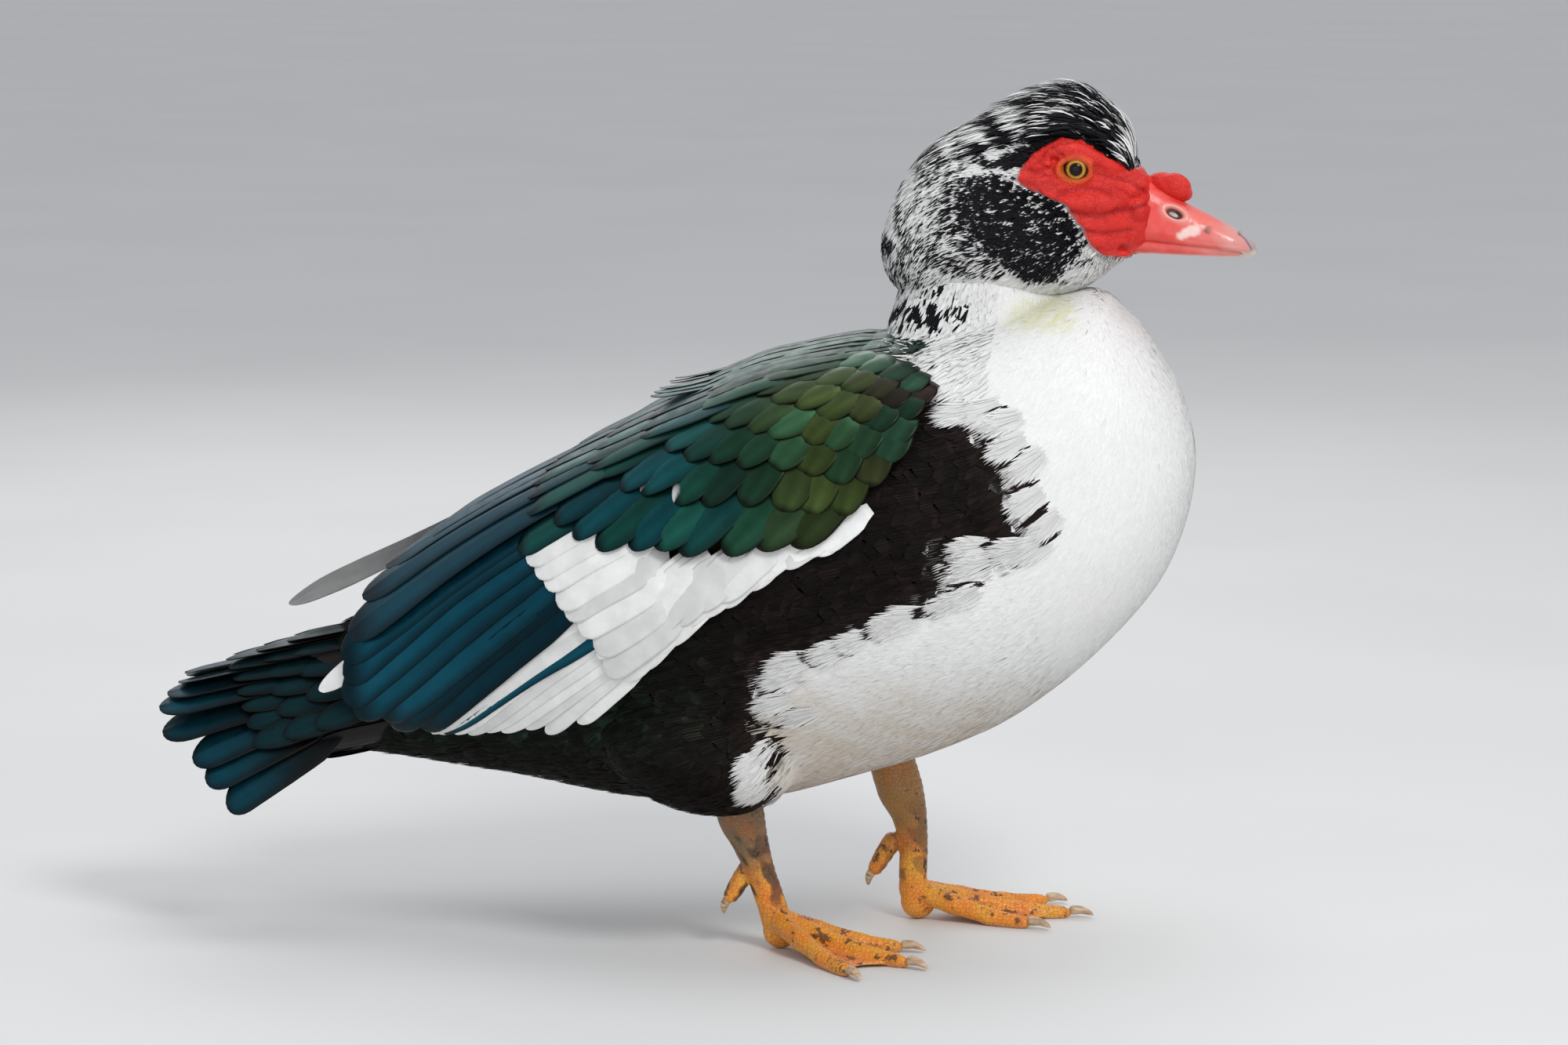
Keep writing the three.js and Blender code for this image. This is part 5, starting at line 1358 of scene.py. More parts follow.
def make_wing(side_name):
    hand = HANDS[side_name]
    rng = np.random.default_rng(31 + hand)
    flights, coverts = Plumage(), Plumage()
    tiers = [LONG_PRIMARIES[side_name], *WING_TIERS]
    totals = [sum(t["count"] for t in tiers if (t["name"] in FLIGHTS) == kind) for kind in (False, True)]
    seen = [0, 0]
    for tier in tiers:
        big = tier["name"] in FLIGHTS
        options = {k: tier[k] for k in ("slope", "lift", "tip", "lift_at") if k in tier}
        for i in range(tier["count"]):
            share = i / max(tier["count"] - 1, 1)
            jitter = 0.0 if tier["name"] == "long" else 1.0
            root = curve_on(tier["roots"], share) + jitter * rng.normal(0, 0.7, 2)
            spread = (3.0, 1.4) if tier["name"] == "secondary" else (1.8, 1.2)
            tip = curve_on(tier["tips"], share) + jitter * rng.normal(0, spread)
            feather = Feather(tier["width"] * rng.uniform(0.96, 1.05), rows=22 if big else 14,
                              columns=FLIGHT_COLUMNS if big else COVERT_COLUMNS, **options)
            length = np.hypot(*(tip - root))
            ahead = (tip - root) / length
            inner, rim, gloss = wing_tone(tier["name"], i, tip[0], tip[1])
            if gloss and not big:
                inner = mix(inner, tone_of("green") * 1.5, 0.5 * (rng.random() > 0.6))
                inner = inner * rng.uniform(0.55, 1.35)
            if tier["name"] in ("mantle", "scapular", "tertial"):
                inner, gloss = mix(inner, tone_of("flank"), 0.3), 0.5
            if tier["name"] == "secondary":
                inner = inner * (0.35 if i > 4 else 1.0)
            inner = inner * rng.uniform(0.8, 1.15)
            fleck = tier["roots"][0] == (252, 58) and i in (2, 3)
            bend = rng.normal(0, 0.012)

            def place(along, across, height):
                curl = bend * length * np.sin(np.pi * along)
                distance = root[0] + ahead[0] * length * along - ahead[1] * (across + curl)
                arc = np.maximum(root[1] + ahead[1] * length * along + ahead[0] * (across + curl), 1.2)
                return BED.place(distance, arc, height, hand)

            def marking(along, u):
                edge = np.maximum(ramp(0.72, 0.97, np.abs(u)), ramp(0.88, 0.97, along))[..., None]
                # Painted sheen: glossy feathers are lightened down the middle towards the tip.
                painted_sheen = ramp(0.35, 0.8, along) * (1 - u ** 2)
                tone = inner * (1 + 0.35 * bool(gloss) * painted_sheen[..., None])
                tone = mix(tone, rim, (0.9 if gloss else 0.4) * edge)
                tone = tone * (1 - 0.25 * np.exp(-(u / 0.06) ** 2) * bool(gloss))[..., None]
                if fleck:
                    tone = painted(tone, "white", ramp(0.84, 0.9, along) * ramp(0.0, -0.4, u))
                return tone
            lay_vane(flights if big else coverts, feather, place, length, marking, gloss,
                     (seen[big], totals[big]), rng)
            seen[big] += 1
    for kind, feathers in (("flights", flights), ("coverts", coverts)):
        feathers.piece(f"wing_{side_name}_{kind}", "flight", "flight_feathers", [f"wing_{side_name}"])


# Tail

TAIL_ROOT_DISTANCE = 470
TAIL_TIPS = [(0, 570, 15, 8), (0.35, 580, 3, 25), (0.7, 562, -26, 43), (1, 550, -50, 52)]
TAIL_CORE = [
    (448, -10, -10, -10, 0), (454, 21, -10, -42, 28), (476, 20, -12, -46, 29), (505, 13, -14, -40, 24),
    (528, 4, -16, -30, 15), (540, -16, -16, -16, 0),
]
TAIL_PAIRS = 7
# Feathers in each row of coverts and how far they reach
UPPER_ROWS = ((7, 540), (6, 522), (5, 504))
UNDER_ROWS = ((4, 548), (4, 526), (4, 504))
UPPER_COVERT = dict(width=17, slope=0.08, lift=(-1, 2.6, 3.2, 2.2), tip=0.3)
UNDER_COVERT = dict(width=17, slope=-0.08, lift=(-3, 1.0, 1.6, 0.8), tip=0.3)


def make_tail():
    rng = np.random.default_rng(5)
    tail, coverts = Plumage(), Plumage()
    tips = np.array(TAIL_TIPS, float)
    tip_at = [curve_through(tips[:, 0], tips[:, k]) for k in (1, 2, 3)]
    vanes = []
    for hand in (-1, 1):
        for i in reversed(range(TAIL_PAIRS)):
            share = i / (TAIL_PAIRS - 1)
            root = np.array([TAIL_ROOT_DISTANCE, 13 - 36 * share ** 1.3, 4 + 21 * share])
            tip = np.array([at_share(share) for at_share in tip_at]) + rng.normal(0, (2.0, 1.0, 1.0))
            facing = math.radians(6 + 62 * share ** 0.8)
            form = dict(width=28 - 2 * share, slope=0.13, lift=(0, 0, 0, -0.5), base=0.26, tip=0.17, cup=0.10)
            vanes.append(("rectrix", hand, root, tip, facing, form))
        for row, (count, far) in enumerate(UPPER_ROWS):
            for i in reversed(range(count)):
                share = 0.04 + 0.92 * i / (count - 1)
                root = np.array([446 - 10 * row, 17 + row - 36 * share ** 1.4, 4 + 22 * share])
                tip = np.array([far - 12 * share, 18 + 1.2 * row - 46 * share ** 1.5, 7 + 33 * share])
                facing = math.radians(8 + 66 * share ** 0.8)
                vanes.append(("upper", hand, root, tip, facing, UPPER_COVERT))
        for row, (count, far) in enumerate(UNDER_ROWS):
            for i in range(count):
                share = i / (count - 1)
                root = np.array([452 - 14 * row, -43 + 9 * share - 1.5 * row, 4 + 19 * share])
                tip = np.array([far - 8 * share, -40 + 10 * share - 2 * row, 5 + 25 * share])
                facing = math.radians(180 - 48 * share)
                vanes.append(("under", hand, root, tip, facing, UNDER_COVERT))
    vanes.append(("rectrix", 1, np.array([TAIL_ROOT_DISTANCE, 13.6, 0.0]), np.array([566.0, 16.2, 0.0]), 0.0,
                  dict(width=22, slope=0.0, lift=(0.4, 2, 2.2, 1.2), base=0.3, tip=0.12)))
    totals = {True: sum(v[0] == "rectrix" for v in vanes), False: sum(v[0] != "rectrix" for v in vanes)}
    seen = {True: 0, False: 0}
    for kind, hand, root, tip, facing, options in vanes:
        big = kind == "rectrix"
        feather = Feather(rows=18 if big else 12, columns=FLIGHT_COLUMNS if big else COVERT_COLUMNS,
                          **options)
        out, around = (math.cos(facing), math.sin(facing)), (-math.sin(facing), math.cos(facing))

        def place(along, across, height):
            spot = [mix(root[k], tip[k], along) for k in range(3)]
            return along_body(spot[0], spot[1] + out[0] * height + around[0] * across,
                              hand * (spot[2] + out[1] * height + around[1] * across))
        end = mix(tone_of("teal") * 0.8, tone_of("blue") * 1.3, 0.7) * rng.uniform(0.8, 1.25)
        dark = tone_of("flank" if kind == "under" else "tail_dark")

        def marking(along, u):
            tone = mix(dark, end if big else mix(dark, tone_of("teal"), 0.55 if kind == "upper" else 0.1),
                       (ramp(0.35, 0.95, along) * (1 - 0.6 * ramp(0.5, 1, np.abs(u))))[..., None])
            rim = np.maximum(ramp(0.7, 1.0, np.abs(u)), ramp(0.93, 1.0, along))
            return mix(tone * 0.7, tone_of("flank") * 0.8, 0.7 * rim[..., None])
        lay_vane(tail if big else coverts, feather, place, np.linalg.norm(tip - root), marking,
                 0.9 if kind != "under" else 0.3, (seen[big], totals[big]), rng)
        seen[big] += 1
    tail.piece("tail_feathers", "flight", "flight_feathers", ["tail"])
    coverts.piece("tail_coverts", "flight", "flight_feathers", ["tail"])
    core = loft(TAIL_CORE, along_body, 30, 40)
    tone = np.broadcast_to(tone_of("flank"), core[0].shape)
    piece = new_piece("tail_core", core, strand_finish("Tail skin", 0.8, 0.2), colours={"Marking": tone})
    flip_outward(piece.data)
    finished(piece, ["tail"])


# Coat: hair-like tufts on the head, neck and white front, small vanes on the dark body

WING_LOW_EDGE = [(143, 80), (152, 112), (166, 136), (178, 152), (233, 160), (279, 174), (310, 182),
                 (357, 180), (393, 161), (430, 128)]
# Place along the head, length and lift in degrees of the crest's feathers
CREST_ROWS = [(92, 22, 7), (111, 26, 9), (129, 28, 12), (145, 30, 18), (159, 30, 25), (172, 26, 28),
              (186, 18, 28)]
TORSO_SHARE, NECK_SHARE = 0.74, 0.22
# Side of a tuft's patch on the coat's map
PATCH = 0.003
FRINGE = 9
BREAST_COUNTS = (36000, 34000)


def hashed(*cells):
    """The same random number between 0 and 1 each time for a cell."""
    mixed = sum(np.floor(c) * k for c, k in zip(cells, (127.1, 311.7, 74.7)))
    return (np.sin(mixed) * 43758.5453) % 1.0


def coat_place(points, is_head):
    """Place of each root on an unwrap of the skin's own form."""
    forward, up = forward_up(points)
    side = points[:, 0]
    if is_head:
        return np.stack([0.02 + 0.95 * (np.arctan2(side, up - 392) / (2 * np.pi) + 0.5),
                         0.02 + 0.95 * np.clip((forward - 54) / 146, 0, 1)], -1)
    t, n, side = to_body(points)
    on_torso = np.stack([np.arctan2(side, n) / (2 * np.pi) + 0.5,
                         TORSO_SHARE * np.clip((t + 2) / 496, 0, 1)], -1)
    neck = np.stack([np.arctan2(side, forward - 104) / (2 * np.pi) + 0.5,
                     0.76 + NECK_SHARE * np.clip((up - 292) / 80, 0, 1)], -1)
    high = ((up > 312) & (forward > 40) & (forward < 168))[:, None]
    return 0.01 + 0.97 * np.where(high, neck, on_torso)


def coat_lie(points):
    """The way feathers lie: down the neck and breast, then back along the body."""
    forward, up = forward_up(points)
    t, _, side = to_body(points)
    back = along_body(1, 0, 0) - along_body(0, 0, 0)
    down = np.array([0, 0.18, -1.0])
    front = ramp(125, 15, t)[:, None]
    way = mix(back, unit(down + 0.35 * back), front)
    neck = (ramp(296, 318, up) * ramp(30, 60, forward))[:, None]
    way = mix(way, np.array([0, 0.38, -1.0]), neck)
    low = ramp(150, 100, up)[:, None] * ramp(60, 85, np.abs(side) + 30)[:, None]
    return mix(way, np.array([0, 0.75, -0.65]), 0.5 * low)


def head_lie(points):
    """Back over the head from the face, curving down behind the cheek."""
    forward, up = forward_up(points)
    rear = ramp(112, 62, forward)[:, None]
    low = ramp(385, 352, up)[:, None]
    way = mix(np.array([0, 1.0, -0.18]), np.array([0, 0.45, -1.0]), np.maximum(rear, 0.85 * low))
    crown = (ramp(425, 445, up))[:, None]
    return mix(way, np.array([0, 1.0, 0.05]), crown * (1 - rear))


def laid(ground, roots, normals, way, length, rows, wander, rng):
    """Paths over a surface from the roots: points and normals (n, rows + 1, 3)."""
    n = len(roots)
    drift = rng.normal(0, wander, (n, 3))
    way = unit(unit(way) + drift)
    way = unit(way - (way * normals).sum(1, keepdims=True) * normals)
    path, rises = [roots], [normals]
    for _ in range(rows):
        spot, normal = ground.nearest(path[-1] + way * (length / rows)[:, None])
        way = unit(way - (way * normal).sum(1, keepdims=True) * normal)
        path.append(spot)
        rises.append(unit(rises[-1] + normal))
    return np.stack(path, 1), np.stack(rises, 1)


def tufts(plumage, path, rises, width, low, high, tones, spots, taper=(0.75, 1.0, 0.8), rng=None, power=0.7,
          roll=0.3, root_to_tip_shade=(0.82, 1.06)):
    """Tapered hair-like feathers along paths, from their sunk roots to their raised tips, with painted shade
    darker at the roots and lighter towards the tips.
    """
    n, levels = path.shape[:2]
    rows = levels - 1
    share = np.linspace(0, 1, levels)
    height = mix(low[:, None], high[:, None], share[None] ** power)
    centre = path + rises * height[..., None]
    along = unit(np.gradient(centre, axis=1))
    across = unit(np.cross(rises, along))
    if rng is not None:
        across = unit(across + rng.normal(0, roll, (n, 1, 1)) * rises)
    half = (width[:, None] / 2 * np.interp(share, np.linspace(0, 0.85, len(taper)), taper)[None])[..., None]
    sides = np.stack([centre - across * half, centre + across * half], 2)[:, :rows].reshape(n, 2 * rows, 3)
    points = np.concatenate([sides, centre[:, -1:]], 1)
    quads = grid_faces(rows, 2)
    tip = np.array([[2 * rows - 2, 2 * rows - 1, 2 * rows]])
    # Painted shade: each tuft is darker at its sunk root and lighter towards its tip.
    root_to_tip_shade = np.concatenate([np.repeat(mix(*root_to_tip_shade, share[:rows]), 2), root_to_tip_shade[1:]])[None, :, None]
    x = np.concatenate([np.tile([0, 1], rows), [0.5]])
    y = np.concatenate([np.repeat(share[:rows], 2), [1]])
    map_spots = spots[:, None] + PATCH * np.stack([x, y], -1)[None]
    plumage.add(points, [quads, tip], tones[:, None] * root_to_tip_shade, 0.0, 0.0, 0.0, map_spots)


def small_vanes(plumage, path, rises, width, low, high, inner, rim, gloss, spots, rng):
    """Rounded body feathers along paths, each with a rim of its own colour."""
    n, levels = path.shape[:2]
    share = np.linspace(0, 1, levels)
    u = np.array([-1, -0.5, 0, 0.5, 1])
    outline = vane_outline(share, 0.45, 0.4, 0.45)
    height = mix(low[:, None], high[:, None], share[None] ** 0.8)
    along = unit(np.gradient(path, axis=1))
    across = unit(np.cross(rises, along))
    half = width[:, None, None] / 2 * outline[None, :, None]
    ragged = 1 + rng.normal(0, 0.05, (n, levels, len(u)))
    offset = half * u * ragged
    rise = height[..., None] - 0.05 * half * u ** 2 + 0.12 * rng.normal(0, 1, (n, 1, 1)) * u
    stretch = 1 + rng.normal(0, 0.03, (n, 1, len(u))) * (share == 1)[None, :, None]
    base = path[:, :1]
    centre = base[:, :, None] + (path - base)[:, :, None] * stretch[..., None]
    points = centre + across[:, :, None] * offset[..., None] + rises[:, :, None] * rise[..., None]
    edge = np.maximum(ramp(0.4, 1, np.abs(u))[None], ramp(0.72, 1.0, share)[:, None])[None, ..., None]
    tones = mix(inner[:, None, None], rim[:, None, None], 0.85 * edge)
    x, y = np.broadcast_arrays((u[None] + 1) / 2, share[:, None])
    map_spots = spots[:, None] + PATCH * np.stack([x.ravel(), y.ravel()], -1)[None]
    length = np.linalg.norm(path[:, -1] - path[:, 0], axis=1)
    barb = (share[None, :, None] * length[:, None, None] + np.abs(offset) * 0.9).reshape(n, -1)
    plumage.add(points.reshape(n, -1, 3), [grid_faces(levels, len(u))], tones.reshape(n, -1, 3),
                gloss[:, None], barb, 0.0, map_spots)


def under_wing(points):
    t, n, _ = to_body(points)
    rows = np.array(WING_LOW_EDGE, float)
    low_arc = curve_through(rows[:, 0], rows[:, 1] - 14)(t)
    edge = BED_SECTION(t, BED.angle(t, low_arc))[0]
    return (t > 150) & (t < 430) & (n > edge)


def thinned(points, gap, rng):
    """A choice of points of which none stands nearer to another than the gap."""
    cells, kept = {}, []
    keys = np.floor(points / gap).astype(int)
    steps = [(i, j, k) for i in (-1, 0, 1) for j in (-1, 0, 1) for k in (-1, 0, 1)]
    for index in rng.permutation(len(points)):
        x, y, z = keys[index]
        near = [cells[c] for c in ((x + i, y + j, z + k) for i, j, k in steps) if c in cells]
        if all(((points[index] - points[o]) ** 2).sum() > gap * gap for o in near):
            cells[(x, y, z)] = index
            kept.append(index)
    return np.array(kept)


def streaked(points, dark, pitch, run, rng):
    """Whether each tuft is dark: streaks along the coat, as many as the dark share asks."""
    forward, up = forward_up(points)
    angle = 0.35 + 0.75 * ramp(120, 65, forward) + 0.4 * ramp(380, 345, up)
    along = -forward * np.cos(angle) - up * np.sin(angle)
    across = -forward * np.sin(angle) + up * np.cos(angle) + 0.6 * np.abs(points[:, 0])
    lane = np.floor(across / pitch)
    chance = hashed(lane, along / run + 5 * hashed(lane, 1 + 0 * lane), np.sign(points[:, 0]) + 3)
    return 0.9 * chance + 0.1 * rng.random(len(points)) < dark


def make_body_coat(density):
    rng = np.random.default_rng(21)
    base = ground("body")
    spots, normals = base.scatter(int(26000 * density), rng)
    forward, up = forward_up(spots)
    inside = ((up > 352) & (forward > 60)) | under_wing(spots)
    edge = white_share(spots) + 3.2 * ripple(spots, 6.0, 1.0)
    neck = (up > 305) & (forward > 45) & (forward < 150) | (up > 330)
    keep = ~inside & (edge < 5) & ~neck
    spots, normals = spots[keep], normals[keep]
    pick = thinned(spots, 5.8, rng)
    spots, normals = spots[pick], normals[pick]
    n = len(spots)
    size = mix(0.78, 1.0, ramp(20, 110, to_body(spots)[0])) * rng.uniform(0.88, 1.12, n)
    path, rises = laid(base, spots, normals, coat_lie(spots), 21 * size, 6, 0.07, rng)
    inner, gloss = body_colour(spots, rng)
    white = (white_share(spots) > 0)[:, None]
    inner = np.where(white, inner * 0.97, inner * rng.uniform(0.7, 2.0, (n, 1)))
    rim = np.where(white, inner, mix(inner * 0.35, tone_of("vane_rim"), 0.4))
    vanes = Plumage()
    small_vanes(vanes, path, rises, 15 * size, np.full(n, -3.0), rng.uniform(-0.2, 0.7, n), inner, rim, gloss,
                coat_place(spots, False), rng)
    fringe = path[:, 3:].repeat(FRINGE, 0)
    lean = np.tile(np.linspace(-0.86, 0.86, FRINGE), n)[:, None]
    along = unit(fringe[:, -1] - fringe[:, 0])
    across = np.cross(rises[:, -1].repeat(FRINGE, 0), along)
    reach = (7.5 * size).repeat(FRINGE)[:, None] * np.sqrt(1 - (0.62 * np.abs(lean)) ** 2)
    back = -along * (2.6 * lean ** 2 + rng.uniform(-1.3, 0.6, lean.shape))
    fringe = fringe + (across * reach * lean * 0.9 + back)[:, None]
    count = len(fringe)
    tones = rim.repeat(FRINGE, 0) * rng.uniform(0.4, 0.8, (count, 1))
    tufts(vanes, fringe, rises[:, 3:].repeat(FRINGE, 0), rng.uniform(0.5, 1.0, count), np.full(count, -0.6),
          rng.uniform(0.3, 1.0, count), tones, coat_place(spots, False).repeat(FRINGE, 0), rng=rng,
          roll=0.2, root_to_tip_shade=(0.9, 1.1))
    vanes.piece("body_vanes", "body", "body_feathers", ["torso"])
    for part, full in enumerate(BREAST_COUNTS):
        make_breast_coat(f"breast_coat_{part + 1}", int(full * density), rng)


def make_breast_coat(name, count, rng):
    """Nearly flush tufts on the white front, and looser streaked ones on the neck."""
    base = ground("body")
    spots, normals = base.scatter(count * 3, rng)
    forward, up = forward_up(spots)
    edge = white_share(spots) + 3.2 * ripple(spots, 6.0, 1.0)
    neck = (up > 300) & (forward > 45) & (forward < 175)
    near_edge = (edge > -14) & (edge < 1.5) & (rng.random(len(spots)) < 0.7)
    keep = ~under_wing(spots) & ((edge > 1.5) | near_edge | neck) & (up < 364)
    keep = np.flatnonzero(keep)[:count]
    spots, normals, forward, up = spots[keep], normals[keep], forward[keep], up[keep]
    n = len(spots)
    streaks = (up > 308) & (forward < 118) & (forward > 45)
    dark = streaked(spots, dark_share(spots), 3.0, 9.0, rng) & streaks
    tone = body_colour(spots, rng)[0]
    dusky = (near_edge & ~neck)[keep][:, None]
    tone = np.where(dusky, tone_of("flank") * rng.uniform(0.5, 1.6, (n, 1)), tone)
    tone = np.where((streaks & ~dark)[:, None], tone_of("white") * rng.uniform(0.85, 1.0, (n, 1)), tone)
    tone = np.where(dark[:, None], tone_of("black"), tone) * rng.uniform(0.96, 1.03, (n, 1))
    length = SIZES["tuft_length"] * mix(15.0, 8.5, ramp(300, 335, up)) * rng.uniform(0.75, 1.2, n)
    path, rises = laid(base, spots, normals, coat_lie(spots), length, 3, 0.06, rng)
    loose = ramp(270, 190, up) * ramp(175, 150, forward)
    raised = rng.uniform(-0.4, 1.5, n)
    flush = rng.uniform(-0.03, 0.02, n) + 0.35 * loose * rng.random(n)
    coat = Plumage()
    tufts(coat, path, rises, rng.uniform(2.0, 3.4, n), np.full(n, -0.45), np.where(streaks, raised, flush),
          tone, coat_place(spots, False), taper=(0.8, 1.0, 0.75, 0.3), rng=rng, roll=0.01,
          root_to_tip_shade=(0.98, 1.0), power=0.35)
    coat.piece(name, "strand", "body_feathers", ["torso"])


def make_white_lobes():
    """Rounded white feathers along the edge of the white front, with dark bars between them."""
    rng = np.random.default_rng(63)
    base = ground("body")
    edge = path_through(np.column_stack([np.array(WHITE_FRONT[1:18], float), np.zeros(17)]), 50)[:, :2]
    coat = Plumage()
    for hand in HANDS.values():
        for i, (forward, up) in enumerate(edge):
            white = i % 2 == 0
            n = 190 if white else 90
            spot, normal = base.nearest([at(forward, hand * 105, up)])
            way = unit(coat_lie(spot) + rng.normal(0, 0.08, (1, 3)))
            across = np.cross(normal, way)
            lean = np.clip(rng.normal(0, 0.5, n), -1, 1)[:, None]
            size = rng.uniform(0.85, 1.2)
            start = 6.0 + 5.0 * (i % 4 == 0) + rng.uniform(-1.5, 1.5) if white else 9.5 + rng.uniform(-2, 3)
            back = start + rng.uniform(0, 9, (n, 1))
            roots = spot + across * lean * (3.6 if white else 1.7) * size - way * back
            roots, normals = base.nearest(roots)
            fan = way + across * lean * (0.26 if white else 0.05)
            length = (21.0 - 7.0 * lean[:, 0] ** 2) * size * rng.uniform(0.8, 1.1, n)
            path, rises = laid(base, roots, normals, fan, length, 5, 0.02, rng)
            if white:
                # Painted shade: the white tufts are greyer down the middle of each lobe and whiter at its
                # rim.
                tone = tone_of("white") * mix(0.86, 1.0, np.abs(lean))
            else:
                tone = tone_of("flank") * rng.uniform(0.7, 1.8, (n, 1))
            high = rng.uniform(0.7, 1.7, n) if white else rng.uniform(0.2, 0.7, n)
            tufts(coat, path, rises, rng.uniform(0.45, 0.95, n), np.full(n, -0.8), high, tone,
                  coat_place(roots, False), rng=rng, roll=0.1, root_to_tip_shade=(0.78, 1.0))
    coat.piece("white_edge_lobes", "strand", "body_feathers", ["torso"])


def make_head_coat(density):
    base = ground("head")
    for part in range(2):
        rng = np.random.default_rng(41 + part)
        spots, normals = base.scatter(int(46000 * density), rng)
        forward, up = forward_up(spots)
        face = reach_out(forward, up, FACE_OUTLINE)
        keep = (face > 0.2) & (up > 340) & ~((forward > 196) & (up > 372))
        spots, normals, face = spots[keep], normals[keep], face[keep]
        forward, up = forward_up(spots)
        n = len(spots)
        dark = dark_share(spots)
        cheek = reach_out(forward, up, CHEEK_PATCH) < 2
        black = np.where(cheek, streaked(spots, dark, 1.0, 2.6, rng), streaked(spots, dark, 2.3, 12.0, rng))
        tone = np.where(black[:, None], tone_of("black") * rng.uniform(0.6, 1.8, (n, 1)),
                        tone_of("white") * rng.uniform(0.82, 1.02, (n, 1)))
        length = SIZES["tuft_length"] * mix(3.6, 11.0, ramp(1, 18, face)) * rng.uniform(0.75, 1.25, n)
        length = length * mix(1.0, 0.5, cheek * 1.0)
        path, rises = laid(base, spots, normals, head_lie(spots), length, 3, 0.13, rng)
        loose = mix(0.4, 1.5, ramp(110, 70, forward)) * rng.uniform(0.2, 1.3, n) + 0.35 * black
        coat = Plumage()
        tufts(coat, path, rises, rng.uniform(0.75, 1.35, n) * mix(0.7, 1.0, ramp(1, 10, face)),
              np.full(n, -2.0), loose, tone, coat_place(spots, True), rng=rng)
        coat.piece(f"head_coat_{part + 1}", "strand", "neck_feathers", ["head"])


def make_crest(density):
    """Long curved feathers rising from the crown in locks and lying back over it."""
    rng = np.random.default_rng(8)
    rows = np.array(CREST_ROWS, float)
    length_at, lift_at = (curve_through(rows[:, 0], rows[:, k]) for k in (1, 2))
    n = int(9000 * density)
    start = rng.uniform(90, 189, n)
    radius = HEAD_SECTION(start, np.full(n, np.pi / 2))[1] + 3
    reach = mix(18, 27, ramp(185, 150, start)) * mix(0.85, 1.0, ramp(90, 110, start))
    across = rng.uniform(-1, 1, n) * reach
    lock = np.round(across / 5.0 + 0.35 * np.sin(start / 5.0)) * 5.0
    off_middle = np.abs(across) / reach
    length = length_at(start) * rng.uniform(0.72, 1.1, n) * mix(1, 0.7, off_middle)
    lift = np.radians(SIZES["crest_height"] * lift_at(start) * rng.uniform(0.45, 1.12, n)
                      * mix(1.0, 0.55, off_middle ** 2))
    levels = 7
    share = np.linspace(0, 1, levels)[None]
    forward = start[:, None] - (length * np.cos(lift))[:, None] * share
    height = (length * np.sin(lift))[:, None] * np.sin(share * np.pi / 2 * 1.12) ** 0.9
    height = height - 2.2 * (1 - share) ** 2
    turn = mix(across[:, None], lock[:, None], 0.55 * share) / radius[:, None]
    turn = turn + (rng.normal(0, 0.03, n)[:, None] * share)

    def spot(f, a):
        up, side = HEAD_SECTION(f, np.abs(a))
        return at(f, np.sign(a) * side, up)
    surface = spot(forward, turn)
    ahead = spot(forward + 1, turn) - spot(forward - 1, turn)
    around = spot(forward, turn + 0.04) - spot(forward, turn - 0.04)
    out = unit(np.cross(ahead, around))
    out = np.where(out[..., 2:] < 0, -out, out)
    path = surface + out * height[..., None]
    roots = path[:, 0]
    dark = mix(0.42, 0.66, ramp(105, 150, start)) - 0.12 * ramp(172, 184, start)
    dark = np.clip(dark + 0.12 * (np.abs(across) > 0.8 * reach), 0, 0.95)
    black = streaked(roots, dark, 1.3, 6.0, rng)
    tone = np.where(black[:, None], tone_of("black") * rng.uniform(0.5, 1.8, (n, 1)),
                    tone_of("white") * rng.uniform(0.8, 1.0, (n, 1)))
    crest = Plumage()
    zero = np.zeros(n)
    tufts(crest, path, out, rng.uniform(0.9, 1.9, n), zero, zero, tone, coat_place(roots, True),
          taper=(0.7, 1.0, 0.9, 0.5), rng=rng)
    crest.piece("crest", "strand", "neck_feathers", ["head"])


def make_nape_curls():
    """Loose ragged feathers at the foot of the nape, their ends curled up."""
    rng = np.random.default_rng(77)
    base = ground("body")
    spots, normals = base.scatter(60000, rng)
    forward, up = forward_up(spots)
    keep = (up > 306) & (up < 338) & (forward > 44) & (forward < 84)
    spots, normals = spots[keep][:1500], normals[keep][:1500]
    n = len(spots)
    length = rng.uniform(10, 17, n)
    path, rises = laid(base, spots, normals, coat_lie(spots), length, 6, 0.2, rng)
    share = np.linspace(0, 1, 7)[None]
    path = path + rises * (rng.uniform(0.5, 4.2, n)[:, None] * share ** 2)[..., None]
    black = streaked(spots, np.full(n, 0.48), 3.0, 10.0, rng)
    tone = np.where(black[:, None], tone_of("black"), tone_of("white") * rng.uniform(0.85, 1.0, (n, 1)))
    curls = Plumage()
    tufts(curls, path, rises, rng.uniform(1.3, 2.4, n), np.full(n, -2.6), np.full(n, 0.8), tone,
          coat_place(spots, False), taper=(0.7, 1.0, 1.0, 0.6), rng=rng)
    curls.piece("nape_curls", "strand", "neck_feathers", ["neck"])


# Sizes and colours that a user may change

def colour_property(name, description, default):
    return bpy.props.FloatVectorProperty(
        name=name, description=description, default=default, subtype="COLOR", size=3, min=0, max=1)


